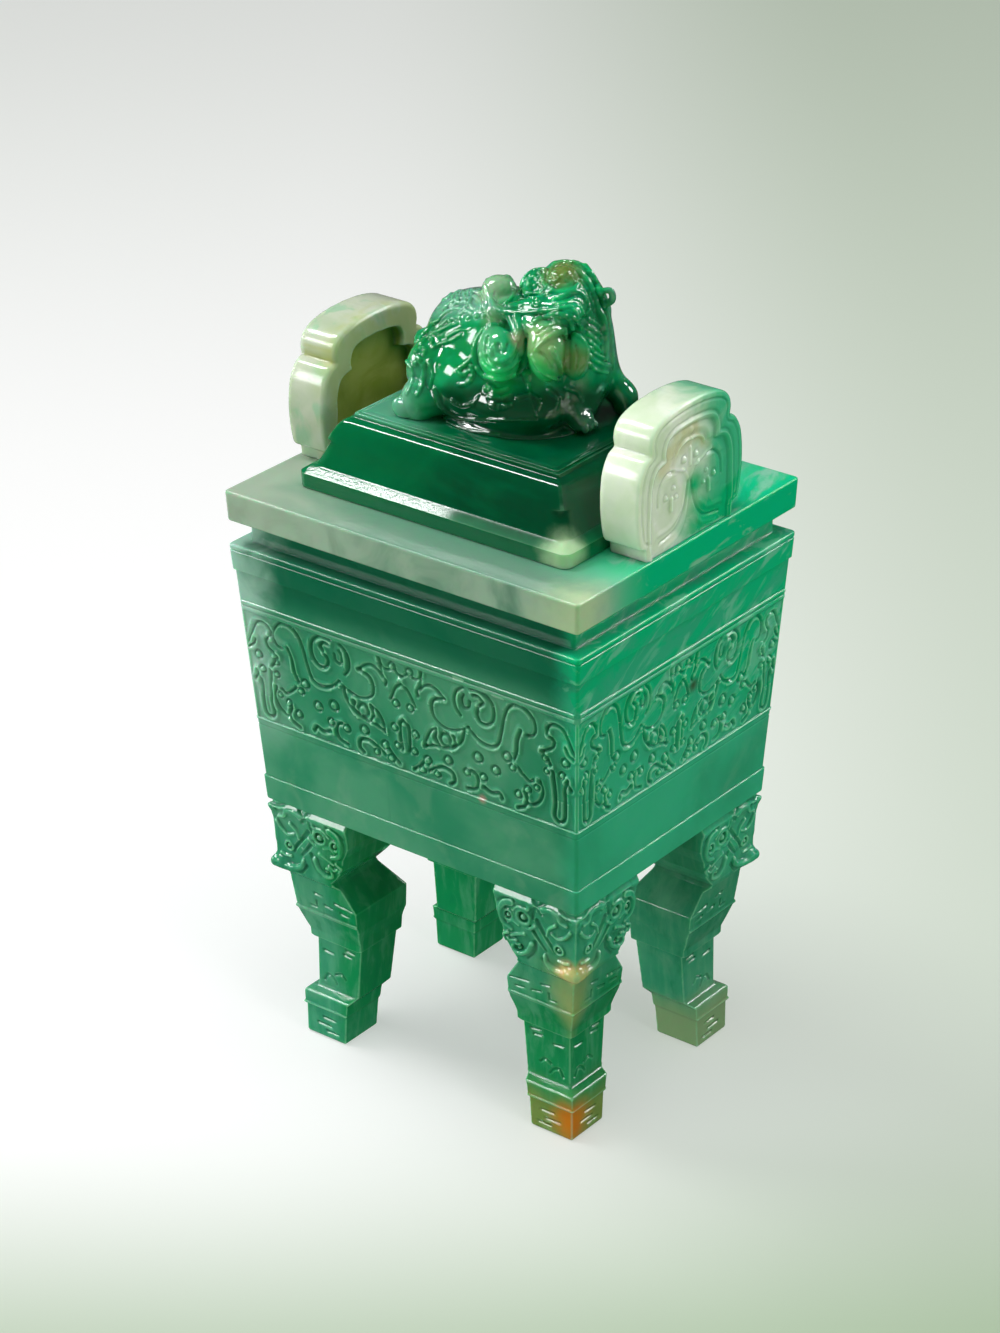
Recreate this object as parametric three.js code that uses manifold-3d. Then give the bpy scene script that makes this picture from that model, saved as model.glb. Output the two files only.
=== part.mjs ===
// Rectangular jadeite censer: a tapering vessel on four legs, two upright cloud-shaped
// handles and a lift-off cover under a crouching beast.
// Millimetres, +Z up, X along the long side. The origin is on the table, under the centre.

import * as THREE from 'three';
import { mergeVertices } from 'three/addons/utils/BufferGeometryUtils.js';
import Module from 'manifold-3d';

const wasm = await Module();
wasm.setup();

// Vessel, from the table up
const legHeight = 59.3;
const rimTop = 132;
const rimLength = 90.8;
const rimWidth = 76.2;
const rimThickness = 6.8;
const rimUndercut = 0.3;
const neckInset = 3.6;
const neckHeight = 5.3;
const shoulderLength = 89;
const shoulderWidth = 73.8;
const lipHeight = 5.9;
const lipProud = 0.4;
const upperBandHeight = 6.9;
const friezeHeight = 27.9;
const friezeDepth = 0.5;
const borderHeight = 2.6;
const borderProud = 0.35;
const baseLength = 83.2;
const baseWidth = 66.8;
const plinthHeight = 5.6;
const plinthProud = 0.3;
const cornerRadius = 0.8;

// Hollow of the vessel
const floorThickness = 8.5;
const hollowTaper = 2.6;
const hollowCornerRadius = 3.5;

// Cover
const coverLedge = 2.7;
const coverBandHeight = 5.8;
const coverHeight = 16;
const coverSlopeRun = 8.4;
const coverStepRun = 2.1;
const coverStepHeight = 0.9;
const coverCornerRadius = 2;
const coverEdgeRadius = 0.35;
const coverSlopeFootReach = 5.2;
const coverSlopeFootRise = 1.2;
const coverSlopeHeadReach = 4.2;
const coverWall = 6.5;
const coverHollowSlope = 5;
const coverHollowRise = 3.5;
const tongueDepth = 3.2;
const tongueWall = 3;
const tongueClearance = 0.4;

// Handles
const handleWidth = 36;
const handleHeight = 29.8;
const handleThickness = 10;
const handleEdgeInset = 0.2;
const handleClearance = 0.5;
const handleEdgeRadius = 1.5;
const handleFootWidth = 29.6;
const handleFootHeight = 2.6;
const handleFootRadius = 2;
const handleCuspRise = 22.5;
const handleCuspHalf = 13.4;
const handleBorder = 4.6;
const handleCrownBorder = 5.8;
const fieldCuspHalf = 7;
const fieldCuspDrop = 3.4;
const fieldSill = 1.2;
const outerFieldDepth = 1.1;
const innerFieldDepth = 2.4;

// Legs, measured inwards from the vessel's bottom corner
const maskInset = 0.4;
const noseInset = 1.3;
const maskHeight = 18.4;
const legTopWidth = 20.2;
const legNeckWidth = 16.4;
const chinInset = 3.1;
const collarInset = 3.9;
const collarHeight = 9.6;
const kneeWidth = 19.7;
const coveInset = 6;
const coveHeight = 6.1;
const shaftTopInset = 7.3;
const shaftFootInset = 8.1;
const shaftStep = 1.5;
const shaftWidth = 19;
const footInset = 4.7;
const footWidth = 16;
const footHeight = 11.3;
const footBevel = 1;
const heelHeight = 8.5;
const muzzleRadius = 2.6;
const noseRadius = 1.7;
const eyeRadius = 1.5;
const cheekDepth = 1.7;
const browRadius = 1.2;
const hornRadius = 1.1;
const curlTipRadius = 0.8;

// Finial
const finialHeight = 35.6;
const finialLength = 40;
const finialWidth = 32;

// Levels and outlines that follow from the sizes above
const rimUnderside = rimTop - rimThickness;
const neckUnderside = rimUnderside - neckHeight;
const lipUnderside = neckUnderside - lipHeight;
const friezeTop = lipUnderside - upperBandHeight;
const friezeBottom = friezeTop - friezeHeight;
const plinthTop = legHeight + plinthHeight;
const mouthInset = handleEdgeInset + handleThickness + handleClearance + coverLedge;
const mouthLength = rimLength - 2 * mouthInset;
const mouthWidth = rimWidth - 2 * mouthInset;
const coverLength = mouthLength + 2 * coverLedge;
const coverWidth = mouthWidth + 2 * coverLedge;
const coverTop = rimTop + coverHeight;
const slopeTop = coverTop - coverStepHeight;
const plateInset = coverSlopeRun + coverStepRun;

function solidOf(geometry) {
  const plain = geometry.index ? geometry.clone() : geometry;
  plain.deleteAttribute('normal');
  plain.deleteAttribute('uv');
  const welded = mergeVertices(plain, 1e-4);
  return new wasm.Manifold(new wasm.Mesh({
    numProp: 3,
    vertProperties: new Float32Array(welded.attributes.position.array),
    triVerts: new Uint32Array(welded.index.array),
  }));
}

function geometryOf(solid) {
  const mesh = solid.getMesh();
  const geometry = new THREE.BufferGeometry();
  geometry.setAttribute('position', new THREE.BufferAttribute(mesh.vertProperties, 3));
  geometry.setIndex(new THREE.BufferAttribute(mesh.triVerts, 1));
  geometry.computeVertexNormals();
  return geometry;
}

function fuse(solids) {
  return solids.reduce((joined, solid) => joined.add(solid));
}

// A closed skin over rings that all have the same number of points, in order along the form
function loft(rings) {
  const count = rings[0].length;
  const positions = rings.flat().flatMap((point) => [point.x, point.y, point.z]);
  const indices = [];
  for (let ring = 0; ring < rings.length - 1; ring += 1) {
    for (let side = 0; side < count; side += 1) {
      const a = ring * count + side;
      const b = ring * count + (side + 1) % count;
      indices.push(a, b, b + count, a, b + count, a + count);
    }
  }
  const last = (rings.length - 1) * count;
  for (let side = 1; side < count - 1; side += 1) {
    indices.push(0, side + 1, side);
    indices.push(last, last + side, last + side + 1);
  }
  const geometry = new THREE.BufferGeometry();
  geometry.setAttribute('position', new THREE.Float32BufferAttribute(positions, 3));
  geometry.setIndex(indices);
  return geometry;
}

// A level rectangle with round corners
function roundedRectangle(length, width, radius, z, cornerSteps = 3) {
  const points = [];
  for (let corner = 0; corner < 4; corner += 1) {
    const signX = corner === 0 || corner === 3 ? 1 : -1;
    const signY = corner < 2 ? 1 : -1;
    for (let step = 0; step <= cornerSteps; step += 1) {
      const angle = (corner + step / cornerSteps) * Math.PI / 2;
      points.push(new THREE.Vector3(
        signX * (length / 2 - radius) + radius * Math.cos(angle),
        signY * (width / 2 - radius) + radius * Math.sin(angle),
        z,
      ));
    }
  }
  return points;
}

// Length and width of the tapering wall at a height
function wallAt(z) {
  const share = (z - plinthTop) / (lipUnderside - plinthTop);
  return {
    length: THREE.MathUtils.lerp(baseLength, shoulderLength, share),
    width: THREE.MathUtils.lerp(baseWidth, shoulderWidth, share),
  };
}

function wallRing(z, proud) {
  const wall = wallAt(z);
  return roundedRectangle(wall.length + 2 * proud, wall.width + 2 * proud, cornerRadius, z);
}

function rimRing(z, inset) {
  return roundedRectangle(rimLength - 2 * inset, rimWidth - 2 * inset, cornerRadius, z);
}

// The vessel's skin climbs from the underside to the rim, and every ledge is two rings
function vesselSkin() {
  const frieze = -friezeDepth;
  const borderBottom = friezeTop - borderHeight;
  return loft([
    wallRing(legHeight, plinthProud),
    wallRing(plinthTop, plinthProud),
    wallRing(plinthTop, 0),
    wallRing(friezeBottom, 0),
    wallRing(friezeBottom, frieze),
    wallRing(borderBottom, frieze),
    wallRing(borderBottom, borderProud),
    wallRing(friezeTop, borderProud),
    wallRing(friezeTop, 0),
    wallRing(lipUnderside, 0),
    wallRing(lipUnderside, lipProud),
    wallRing(neckUnderside, lipProud),
    rimRing(neckUnderside, neckInset),
    rimRing(rimUnderside, neckInset),
    rimRing(rimUnderside, rimUndercut),
    rimRing(rimTop, 0),
  ]);
}

function vesselHollow() {
  const above = 1;
  const floor = legHeight + floorThickness;
  return loft([
    roundedRectangle(mouthLength - 2 * hollowTaper, mouthWidth - 2 * hollowTaper, hollowCornerRadius, floor),
    roundedRectangle(mouthLength, mouthWidth, hollowCornerRadius, rimTop),
    roundedRectangle(mouthLength, mouthWidth, hollowCornerRadius, rimTop + above),
  ]);
}

function vesselBody() {
  return solidOf(vesselSkin()).subtract(solidOf(vesselHollow()));
}

// The leg's outline seen along Y, for the corner at +X: u runs inwards from the vessel's corner
function legOutline() {
  const collarTop = legHeight - maskHeight;
  const collarBottom = collarTop - collarHeight;
  const coveBottom = collarBottom - coveHeight;
  const shaftTop = coveBottom - shaftStep;
  const lipDrop = shaftStep / 2;
  const outline = new THREE.Shape();
  outline.moveTo(maskInset, legHeight);
  outline.quadraticCurveTo(maskInset, legHeight - maskHeight / 3, noseInset, legHeight - maskHeight / 2);
  outline.lineTo(noseInset, collarTop + lipDrop);
  outline.lineTo(chinInset, collarTop);
  outline.lineTo(collarInset, collarBottom);
  outline.quadraticCurveTo(collarInset, coveBottom + coveHeight / 3, coveInset, coveBottom);
  outline.lineTo(coveInset, coveBottom - lipDrop);
  outline.lineTo(shaftTopInset, shaftTop);
  outline.lineTo(shaftFootInset, footHeight + footBevel);
  outline.lineTo(footInset, footHeight);
  outline.lineTo(footInset, footBevel);
  outline.lineTo(footInset + footBevel, 0);
  outline.lineTo(footWidth - footBevel, 0);
  outline.lineTo(footWidth, footBevel);
  outline.lineTo(footWidth, heelHeight - (shaftWidth - footWidth) / 2);
  outline.lineTo(shaftWidth, heelHeight);
  outline.lineTo(shaftWidth, shaftTop);
  outline.lineTo(kneeWidth, coveBottom);
  outline.lineTo(kneeWidth, collarTop - collarHeight / 2);
  outline.bezierCurveTo(
    kneeWidth, collarTop - collarHeight / 8,
    legNeckWidth, collarTop - collarHeight / 8,
    legNeckWidth, collarTop + lipDrop,
  );
  outline.quadraticCurveTo(
    legNeckWidth, legHeight - maskHeight / 2,
    legTopWidth, legHeight - maskHeight / 2.6,
  );
  outline.lineTo(legTopWidth, legHeight);
  return outline;
}

// The beast mask across the leg's outer corner: brows that curl into horns, round eyes,
// cheeks and a blunt muzzle, the same on both outer faces. Places are shares of the mask's
// width and height, with the depth of a centre behind the mask's plane between them.
function legMask() {
  const collarTop = legHeight - maskHeight;
  const level = (share) => collarTop + share * maskHeight;
  const muzzle = noseInset + muzzleRadius / 2;
  const nose = noseInset + noseRadius / 2;
  const pieces = [
    ellipsoid([muzzle, muzzle, level(0.16)], [muzzleRadius, muzzleRadius, muzzleRadius]),
    ellipsoid([nose, nose, level(0.47)], [noseRadius, noseRadius, 0.29 * maskHeight]),
  ];
  for (const swapped of [false, true]) {
    const turn = (along, depth, up) => (swapped ? [depth, along, up] : [along, depth, up]);
    const put = (across, depth, up) => turn(across * legTopWidth, maskInset + depth, level(up));
    pieces.push(ellipsoid(put(0.31, eyeRadius, 0.52), turn(eyeRadius, eyeRadius, eyeRadius)));
    const cheekSize = turn(0.15 * legTopWidth, cheekDepth, 0.11 * maskHeight);
    pieces.push(ellipsoid(put(0.29, cheekDepth, 0.2), cheekSize));
    pieces.push(taperedTube([
      put(0.12, browRadius, 0.64),
      put(0.32, curlTipRadius, 0.69),
      put(0.52, curlTipRadius, 0.58),
      put(0.66, curlTipRadius, 0.65),
      put(0.67, curlTipRadius, 0.81),
      put(0.55, curlTipRadius, 0.84),
    ], browRadius, curlTipRadius));
    pieces.push(taperedTube([
      put(0.44, hornRadius, 0.12),
      put(0.58, hornRadius, 0.18),
      put(0.65, hornRadius, 0.35),
      put(0.55, hornRadius, 0.41),
    ], hornRadius, curlTipRadius));
  }
  return fuse(pieces);
}

function ellipsoid(centre, radii, around = 12, rows = 8) {
  const geometry = new THREE.SphereGeometry(1, around, rows);
  geometry.rotateX(Math.PI / 2);
  geometry.scale(...radii);
  geometry.translate(...centre);
  return solidOf(geometry);
}

// A round bar along a smooth curve whose radius runs from one value to another
function taperedTube(points, startRadius, endRadius, sides = 6, stepsPerPoint = 2) {
  const curve = new THREE.CatmullRomCurve3(points.map((point) => new THREE.Vector3(...point)));
  const steps = stepsPerPoint * (points.length - 1);
  const frames = curve.computeFrenetFrames(steps);
  const rings = [];
  for (let step = 0; step <= steps; step += 1) {
    const share = step / steps;
    const centre = curve.getPointAt(share);
    const radius = THREE.MathUtils.lerp(startRadius, endRadius, share);
    const ring = [];
    for (let side = 0; side < sides; side += 1) {
      const angle = 2 * Math.PI * side / sides;
      ring.push(centre.clone()
        .addScaledVector(frames.normals[step], radius * Math.cos(angle))
        .addScaledVector(frames.binormals[step], radius * Math.sin(angle)));
    }
    rings.push(ring);
  }
  return solidOf(loft(rings));
}

// Both outer faces share one outline, so a leg is where two prisms cross
function legSolid() {
  const depth = legTopWidth;
  const prism = new THREE.ExtrudeGeometry(legOutline(), { depth, bevelEnabled: false, curveSegments: 5 });
  prism.rotateX(Math.PI / 2);
  prism.translate(0, depth, 0);
  const alongY = solidOf(prism);
  const alongX = alongY.mirror([1, -1, 0]);
  const column = alongY.intersect(alongX);
  return column.add(legMask());
}

// The leg built at the +X +Y corner, with u running inwards, then mirrored to each corner
function legAt(signX, signY) {
  const bottom = wallAt(legHeight);
  const cornerX = bottom.length / 2 + plinthProud;
  const cornerY = bottom.width / 2 + plinthProud;
  let leg = legSolid().mirror([1, 0, 0]).mirror([0, 1, 0]);
  leg = leg.translate([cornerX, cornerY, 0]);
  if (signX < 0) leg = leg.mirror([1, 0, 0]);
  if (signY < 0) leg = leg.mirror([0, 1, 0]);
  return leg;
}

// A cloud outline that is the same on both sides: two round lobes below, a cusp on each side
// and a soft crown. It starts below its foot, so that the foot can be cut level.
function cloudOutline({ footHalf, lobeHalf, cuspHalf, cuspRise, peakRise }) {
  const below = -2 * handleEdgeRadius;
  const heel = 0.97 * lobeHalf;
  const bulge = 1.03 * lobeHalf;
  const shoulder = 1.01 * lobeHalf;
  const shoulderRise = 0.98 * cuspRise;
  const crown = 1.04 * cuspHalf;
  const crownRise = THREE.MathUtils.lerp(cuspRise, peakRise, 0.72);
  const peakReach = 0.7 * cuspHalf;
  const lobeRise = handleFootHeight + handleFootRadius;
  const shape = new THREE.Shape();
  shape.moveTo(-footHalf, below);
  shape.lineTo(footHalf, below);
  shape.lineTo(footHalf, handleFootHeight);
  shape.quadraticCurveTo(heel, handleFootHeight, heel, lobeRise);
  shape.bezierCurveTo(bulge, cuspRise / 2, shoulder, shoulderRise, cuspHalf, cuspRise);
  shape.bezierCurveTo(crown, crownRise, peakReach, peakRise, 0, peakRise);
  shape.bezierCurveTo(-peakReach, peakRise, -crown, crownRise, -cuspHalf, cuspRise);
  shape.bezierCurveTo(-shoulder, shoulderRise, -bulge, cuspRise / 2, -heel, lobeRise);
  shape.quadraticCurveTo(-heel, handleFootHeight, -footHalf, handleFootHeight);
  return shape;
}

// Turns a shape drawn in Y and Z, extruded along X
function plaque(shape, startX, thickness, edgeRadius) {
  const geometry = new THREE.ExtrudeGeometry(shape, {
    depth: thickness - 2 * edgeRadius,
    curveSegments: 6,
    bevelEnabled: edgeRadius > 0,
    bevelThickness: edgeRadius,
    bevelSize: edgeRadius,
    bevelOffset: -edgeRadius,
    bevelSegments: 3,
  });
  const basis = new THREE.Matrix4().makeBasis(
    new THREE.Vector3(0, 1, 0),
    new THREE.Vector3(0, 0, 1),
    new THREE.Vector3(1, 0, 0),
  );
  geometry.applyMatrix4(basis);
  geometry.translate(startX + edgeRadius, 0, rimTop);
  return solidOf(geometry);
}

function box(minimum, maximum) {
  const size = maximum.map((value, axis) => value - minimum[axis]);
  const geometry = new THREE.BoxGeometry(...size);
  geometry.translate(...minimum.map((value, axis) => value + size[axis] / 2));
  return solidOf(geometry);
}

// The +X handle: a thick cloud plaque whose two faces are sunk inside a broad border
function handleSolid() {
  const outerFace = rimLength / 2 - handleEdgeInset;
  const innerFace = outerFace - handleThickness;
  const half = handleWidth / 2;
  const fieldHalf = half - handleBorder;
  const outline = cloudOutline({
    footHalf: handleFootWidth / 2,
    lobeHalf: half,
    cuspHalf: handleCuspHalf,
    cuspRise: handleCuspRise,
    peakRise: handleHeight,
  });
  const field = cloudOutline({
    footHalf: fieldHalf,
    lobeHalf: fieldHalf,
    cuspHalf: fieldCuspHalf,
    cuspRise: handleCuspRise - fieldCuspDrop,
    peakRise: handleHeight - handleCrownBorder,
  });
  const reach = 1;
  const above = (level) => box(
    [innerFace - reach, -half - reach, level],
    [outerFace + reach, half + reach, level + 2 * handleHeight],
  );
  const sill = rimTop + fieldSill;
  const outerField = plaque(field, outerFace - outerFieldDepth, outerFieldDepth + reach, 0);
  const innerField = plaque(field, innerFace - reach, innerFieldDepth + reach, 0);
  return plaque(outline, innerFace, handleThickness, handleEdgeRadius)
    .intersect(above(rimTop))
    .subtract(outerField.intersect(above(sill)))
    .subtract(innerField.intersect(above(sill)));
}

// The cover climbs in an upright band, a wave-shaped slope, a fine step and a flat plate,
// and a tongue under it reaches into the vessel's mouth
function coverSkin() {
  const bandTop = rimTop + coverBandHeight;
  const slope = new THREE.CubicBezierCurve(
    new THREE.Vector2(coverEdgeRadius, bandTop),
    new THREE.Vector2(coverSlopeFootReach, bandTop + coverSlopeFootRise),
    new THREE.Vector2(coverSlopeHeadReach, slopeTop),
    new THREE.Vector2(coverSlopeRun, slopeTop),
  );
  const ring = (inset, z) => roundedRectangle(
    coverLength - 2 * inset,
    coverWidth - 2 * inset,
    THREE.MathUtils.lerp(coverCornerRadius, cornerRadius, Math.min(1, inset / coverCornerRadius)),
    z,
  );
  const slopeSteps = 8;
  const sloped = [];
  for (let step = 0; step <= slopeSteps; step += 1) {
    const point = slope.getPoint(step / slopeSteps);
    sloped.push(ring(point.x, point.y));
  }
  return loft([
    ring(0, rimTop),
    ring(0, bandTop - coverEdgeRadius),
    ...sloped,
    ring(plateInset, slopeTop),
    ring(plateInset, coverTop),
  ]);
}

function tongueBlock() {
  const length = mouthLength - 2 * tongueClearance;
  const width = mouthWidth - 2 * tongueClearance;
  const radius = hollowCornerRadius;
  const overlap = 1;
  const slack = hollowTaper * tongueDepth / (rimTop - legHeight - floorThickness);
  return loft([
    roundedRectangle(length - 2 * slack, width - 2 * slack, radius, rimTop - tongueDepth),
    roundedRectangle(length, width, radius, rimTop),
    roundedRectangle(length, width, radius, rimTop + overlap),
  ]);
}

function coverHollow() {
  const length = mouthLength - 2 * tongueClearance - 2 * tongueWall;
  const width = mouthWidth - 2 * tongueClearance - 2 * tongueWall;
  const radius = hollowCornerRadius;
  const below = 1;
  const taper = coverHollowSlope;
  return loft([
    roundedRectangle(length, width, radius, rimTop - tongueDepth - below),
    roundedRectangle(length, width, radius, rimTop + coverHollowRise),
    roundedRectangle(length - 2 * taper, width - 2 * taper, radius, coverTop - coverWall),
  ]);
}

function coverSolid() {
  return solidOf(coverSkin()).add(solidOf(tongueBlock())).subtract(solidOf(coverHollow()));
}

// The crouching beast on the cover. Its rump is at the -X end, and its head is at the +X end,
// turned to the front over a sprig of lingzhi fungus that it holds in its jaws.
// Places and sizes are shares of the beast's half length, half width and height.
function beastPlace(x, y, z) {
  return [x * finialLength / 2, y * finialWidth / 2, coverTop + z * finialHeight];
}

function beastLump(place, size, around = 14, rows = 9) {
  const radii = [size[0] * finialLength / 2, size[1] * finialWidth / 2, size[2] * finialHeight];
  return ellipsoid(beastPlace(...place), radii, around, rows);
}

function beastLimb(places, startShare, endShare) {
  const route = places.map((place) => beastPlace(...place));
  return taperedTube(route, startShare * finialHeight, endShare * finialHeight, 8, 3);
}

function beastTrunk() {
  const body = beastLump([-0.1, 0.06, 0.34], [0.72, 0.78, 0.39], 20, 12);
  const rump = beastLump([-0.58, 0.06, 0.36], [0.45, 0.59, 0.29], 16, 10);
  const belly = beastLump([0.12, -0.31, 0.155], [0.7, 0.58, 0.22], 16, 10);
  const chest = beastLump([0.55, 0.19, 0.34], [0.45, 0.59, 0.36], 16, 10);
  const neck = beastLump([0.58, 0.19, 0.59], [0.37, 0.47, 0.22]);
  return fuse([body, rump, belly, chest, neck]);
}

function beastHead() {
  const skull = beastLump([0.63, 0.07, 0.8], [0.31, 0.39, 0.165], 16, 10);
  const brow = beastLump([0.73, -0.15, 0.89], [0.14, 0.18, 0.08]);
  const snout = beastLump([0.84, -0.24, 0.76], [0.16, 0.2, 0.075]);
  const jaw = beastLump([0.74, -0.24, 0.69], [0.13, 0.17, 0.05]);
  const nape = beastLump([0.3, 0.03, 0.82], [0.15, 0.2, 0.09]);
  const mane = beastLimb([
    [0.6, 0.25, 0.91], [0.75, 0.38, 0.78], [0.85, 0.5, 0.56], [0.87, 0.6, 0.34], [0.9, 0.75, 0.18],
  ], 0.062, 0.056);
  const wisp = beastLimb([
    [0.72, 0.38, 0.78], [0.88, 0.38, 0.71], [1, 0.41, 0.74], [1, 0.41, 0.8], [0.93, 0.32, 0.8],
  ], 0.034, 0.02);
  return fuse([skull, brow, snout, jaw, nape, mane, wisp]);
}

function beastLegs() {
  const nearThigh = beastLump([-0.3, -0.53, 0.21], [0.45, 0.38, 0.225]);
  const farThigh = beastLump([-0.3, 0.56, 0.21], [0.45, 0.38, 0.225]);
  const tail = beastLump([-0.8, -0.42, 0.28], [0.17, 0.2, 0.14]);
  const nearHindPaw = beastLump([-0.72, -0.82, 0.07], [0.24, 0.22, 0.13]);
  const farHindPaw = beastLump([-0.72, 0.78, 0.07], [0.24, 0.22, 0.13]);
  const nearHindShin = beastLimb([[-0.35, -0.6, 0.12], [-0.72, -0.82, 0.07]], 0.13, 0.09);
  const farHindShin = beastLimb([[-0.35, 0.6, 0.12], [-0.72, 0.78, 0.07]], 0.13, 0.09);
  const nearForePaw = beastLump([0.92, 0.04, 0.09], [0.18, 0.2, 0.09]);
  const farForePaw = beastLump([0.94, 0.8, 0.1], [0.14, 0.21, 0.12]);
  const farForeleg = beastLimb([[0.7, 0.5, 0.3], [0.94, 0.78, 0.11]], 0.1, 0.075);
  return fuse([
    nearThigh, farThigh, tail, nearHindPaw, farHindPaw, nearHindShin, farHindShin,
    nearForePaw, farForePaw, farForeleg,
  ]);
}

function lingzhiSprig() {
  const leftLobe = beastLump([0.24, -0.66, 0.44], [0.28, 0.25, 0.165]);
  const rightLobe = beastLump([0.66, -0.4, 0.465], [0.21, 0.25, 0.175]);
  const bud = beastLump([0.92, -0.16, 0.455], [0.14, 0.19, 0.14]);
  const stem = beastLimb([
    [0.8, -0.33, 0.73], [0.41, -0.31, 0.68], [0.12, -0.37, 0.62], [-0.08, -0.27, 0.635], [-0.15, -0.1, 0.7],
  ], 0.04, 0.038);
  const leaf = beastLump([-0.15, 0.03, 0.73], [0.17, 0.19, 0.085]);
  return fuse([leftLobe, rightLobe, bud, stem, leaf]);
}

function finialSolid() {
  const reach = 2 * finialLength;
  const abovePlate = box([-reach, -reach, coverTop], [reach, reach, coverTop + 2 * finialHeight]);
  return fuse([beastTrunk(), beastHead(), beastLegs(), lingzhiSprig()]).intersect(abovePlate);
}

function jade(color, roughness = 0.18) {
  return new THREE.MeshStandardMaterial({ color, roughness, metalness: 0 });
}

const censer = new THREE.Group();

function addPiece(name, solid, material) {
  const mesh = new THREE.Mesh(geometryOf(solid), material);
  mesh.name = name;
  censer.add(mesh);
}

const bodyJade = jade(0x3f8f6b);
const coverJade = jade(0x0b5a34, 0.12);
const handleJade = jade(0xb9d3b4);
const finialJade = jade(0x128a48, 0.1);

addPiece('vessel_body', vesselBody(), bodyJade);
addPiece('leg_front_left', legAt(-1, -1), bodyJade);
addPiece('leg_front_right', legAt(1, -1), bodyJade);
addPiece('leg_back_left', legAt(-1, 1), bodyJade);
addPiece('leg_back_right', legAt(1, 1), bodyJade);
addPiece('handle_right', handleSolid(), handleJade);
addPiece('handle_left', handleSolid().mirror([1, 0, 0]), handleJade);
addPiece('cover', coverSolid(), coverJade);
addPiece('finial', finialSolid(), finialJade);

export default censer;
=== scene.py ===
# Rectangular jadeite censer: the looks. Shapes are worked out in millimetres in the frame's
# own axes, and become metres when a mesh is made.
import math

import bpy
import numpy as np
from mathutils import Matrix, Vector


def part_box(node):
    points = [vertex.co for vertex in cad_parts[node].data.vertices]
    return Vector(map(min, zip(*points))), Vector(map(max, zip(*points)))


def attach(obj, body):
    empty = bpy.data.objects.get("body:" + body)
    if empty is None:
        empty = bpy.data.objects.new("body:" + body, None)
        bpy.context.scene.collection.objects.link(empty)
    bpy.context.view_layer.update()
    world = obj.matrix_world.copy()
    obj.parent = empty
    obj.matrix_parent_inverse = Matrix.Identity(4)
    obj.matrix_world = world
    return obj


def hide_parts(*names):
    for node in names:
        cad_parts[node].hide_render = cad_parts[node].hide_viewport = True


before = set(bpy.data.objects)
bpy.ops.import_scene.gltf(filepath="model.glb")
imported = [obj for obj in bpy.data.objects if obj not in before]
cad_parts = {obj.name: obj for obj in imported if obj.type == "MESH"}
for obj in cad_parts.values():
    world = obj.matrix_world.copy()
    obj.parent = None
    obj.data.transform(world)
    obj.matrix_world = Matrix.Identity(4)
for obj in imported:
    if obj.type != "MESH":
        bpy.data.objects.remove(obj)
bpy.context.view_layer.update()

MM = 0.001
FAR = 50.0
TINY = 1e-9


def node_box(node):
    low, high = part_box(node)
    return np.array(low) / MM, np.array(high) / MM


# Sizes that come from the frame, in millimetres
VESSEL_LOW, VESSEL_HIGH = node_box("vessel_body")
HANDLE_LOW, HANDLE_HIGH = node_box("handle_right")
FINIAL_LOW, FINIAL_HIGH = node_box("finial")
COVER_HIGH = node_box("cover")[1]
LEG_HIGH = node_box("leg_back_right")[1]
RIM_TOP = VESSEL_HIGH[2]
LEG_HEIGHT = VESSEL_LOW[2]
RIM_HALF = VESSEL_HIGH[:2]
COVER_HALF = COVER_HIGH[:2]
COVER_TOP = COVER_HIGH[2]

# Heights and widths of the vessel's bands
RIM_UNDERSIDE = 125.2
NECK_UNDERSIDE = 119.9
LIP_UNDERSIDE = 114.0
FRIEZE_TOP = 107.1
FRIEZE_BOTTOM = 79.2
PLINTH_TOP = 64.9
BORDER_BOTTOM = 104.9
NECK_INSET = 3.6
LIP_PROUD = 0.4
PLINTH_PROUD = 0.3
BASE_HALF = np.array([41.6, 33.4])
SHOULDER_HALF = np.array([44.5, 36.9])
MOUTH_INSET = 13.4
FLOOR_LEVEL = 67.8
HOLLOW_TAPER = 2.6
# The mask stands this far from the middle of each long face
MEDALLION_SHIFT = -1.2


# Mesh making

def make_piece(name, points, faces, material, body, slot, replaced):
    mesh = bpy.data.meshes.new(name)
    points = np.asarray(points, np.float64) * MM
    faces = np.asarray(faces, np.int32)
    mesh.vertices.add(len(points))
    mesh.vertices.foreach_set("co", points.astype(np.float32).ravel())
    sides = faces.shape[1]
    mesh.loops.add(faces.size)
    mesh.loops.foreach_set("vertex_index", faces.ravel())
    mesh.polygons.add(len(faces))
    mesh.polygons.foreach_set("loop_start", np.arange(0, faces.size, sides, dtype=np.int32))
    mesh.polygons.foreach_set("loop_total", np.full(len(faces), sides, np.int32))
    mesh.update(calc_edges=True)
    mesh.validate()
    mesh.polygons.foreach_set("use_smooth", np.ones(len(mesh.polygons), bool))
    mesh.materials.append(material)
    piece = bpy.data.objects.new(name, mesh)
    bpy.context.scene.collection.objects.link(piece)
    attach(piece, body)
    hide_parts(replaced)
    return piece


def ring_faces(rings, around):
    """Quads that join each ring of points to the next one, all with the same count."""
    index = np.arange(rings * around).reshape(rings, around)
    here, there = index[:-1], index[1:]
    turned_here, turned_there = np.roll(here, -1, 1), np.roll(there, -1, 1)
    return np.stack([here, turned_here, turned_there, there], -1).reshape(-1, 4)


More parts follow.
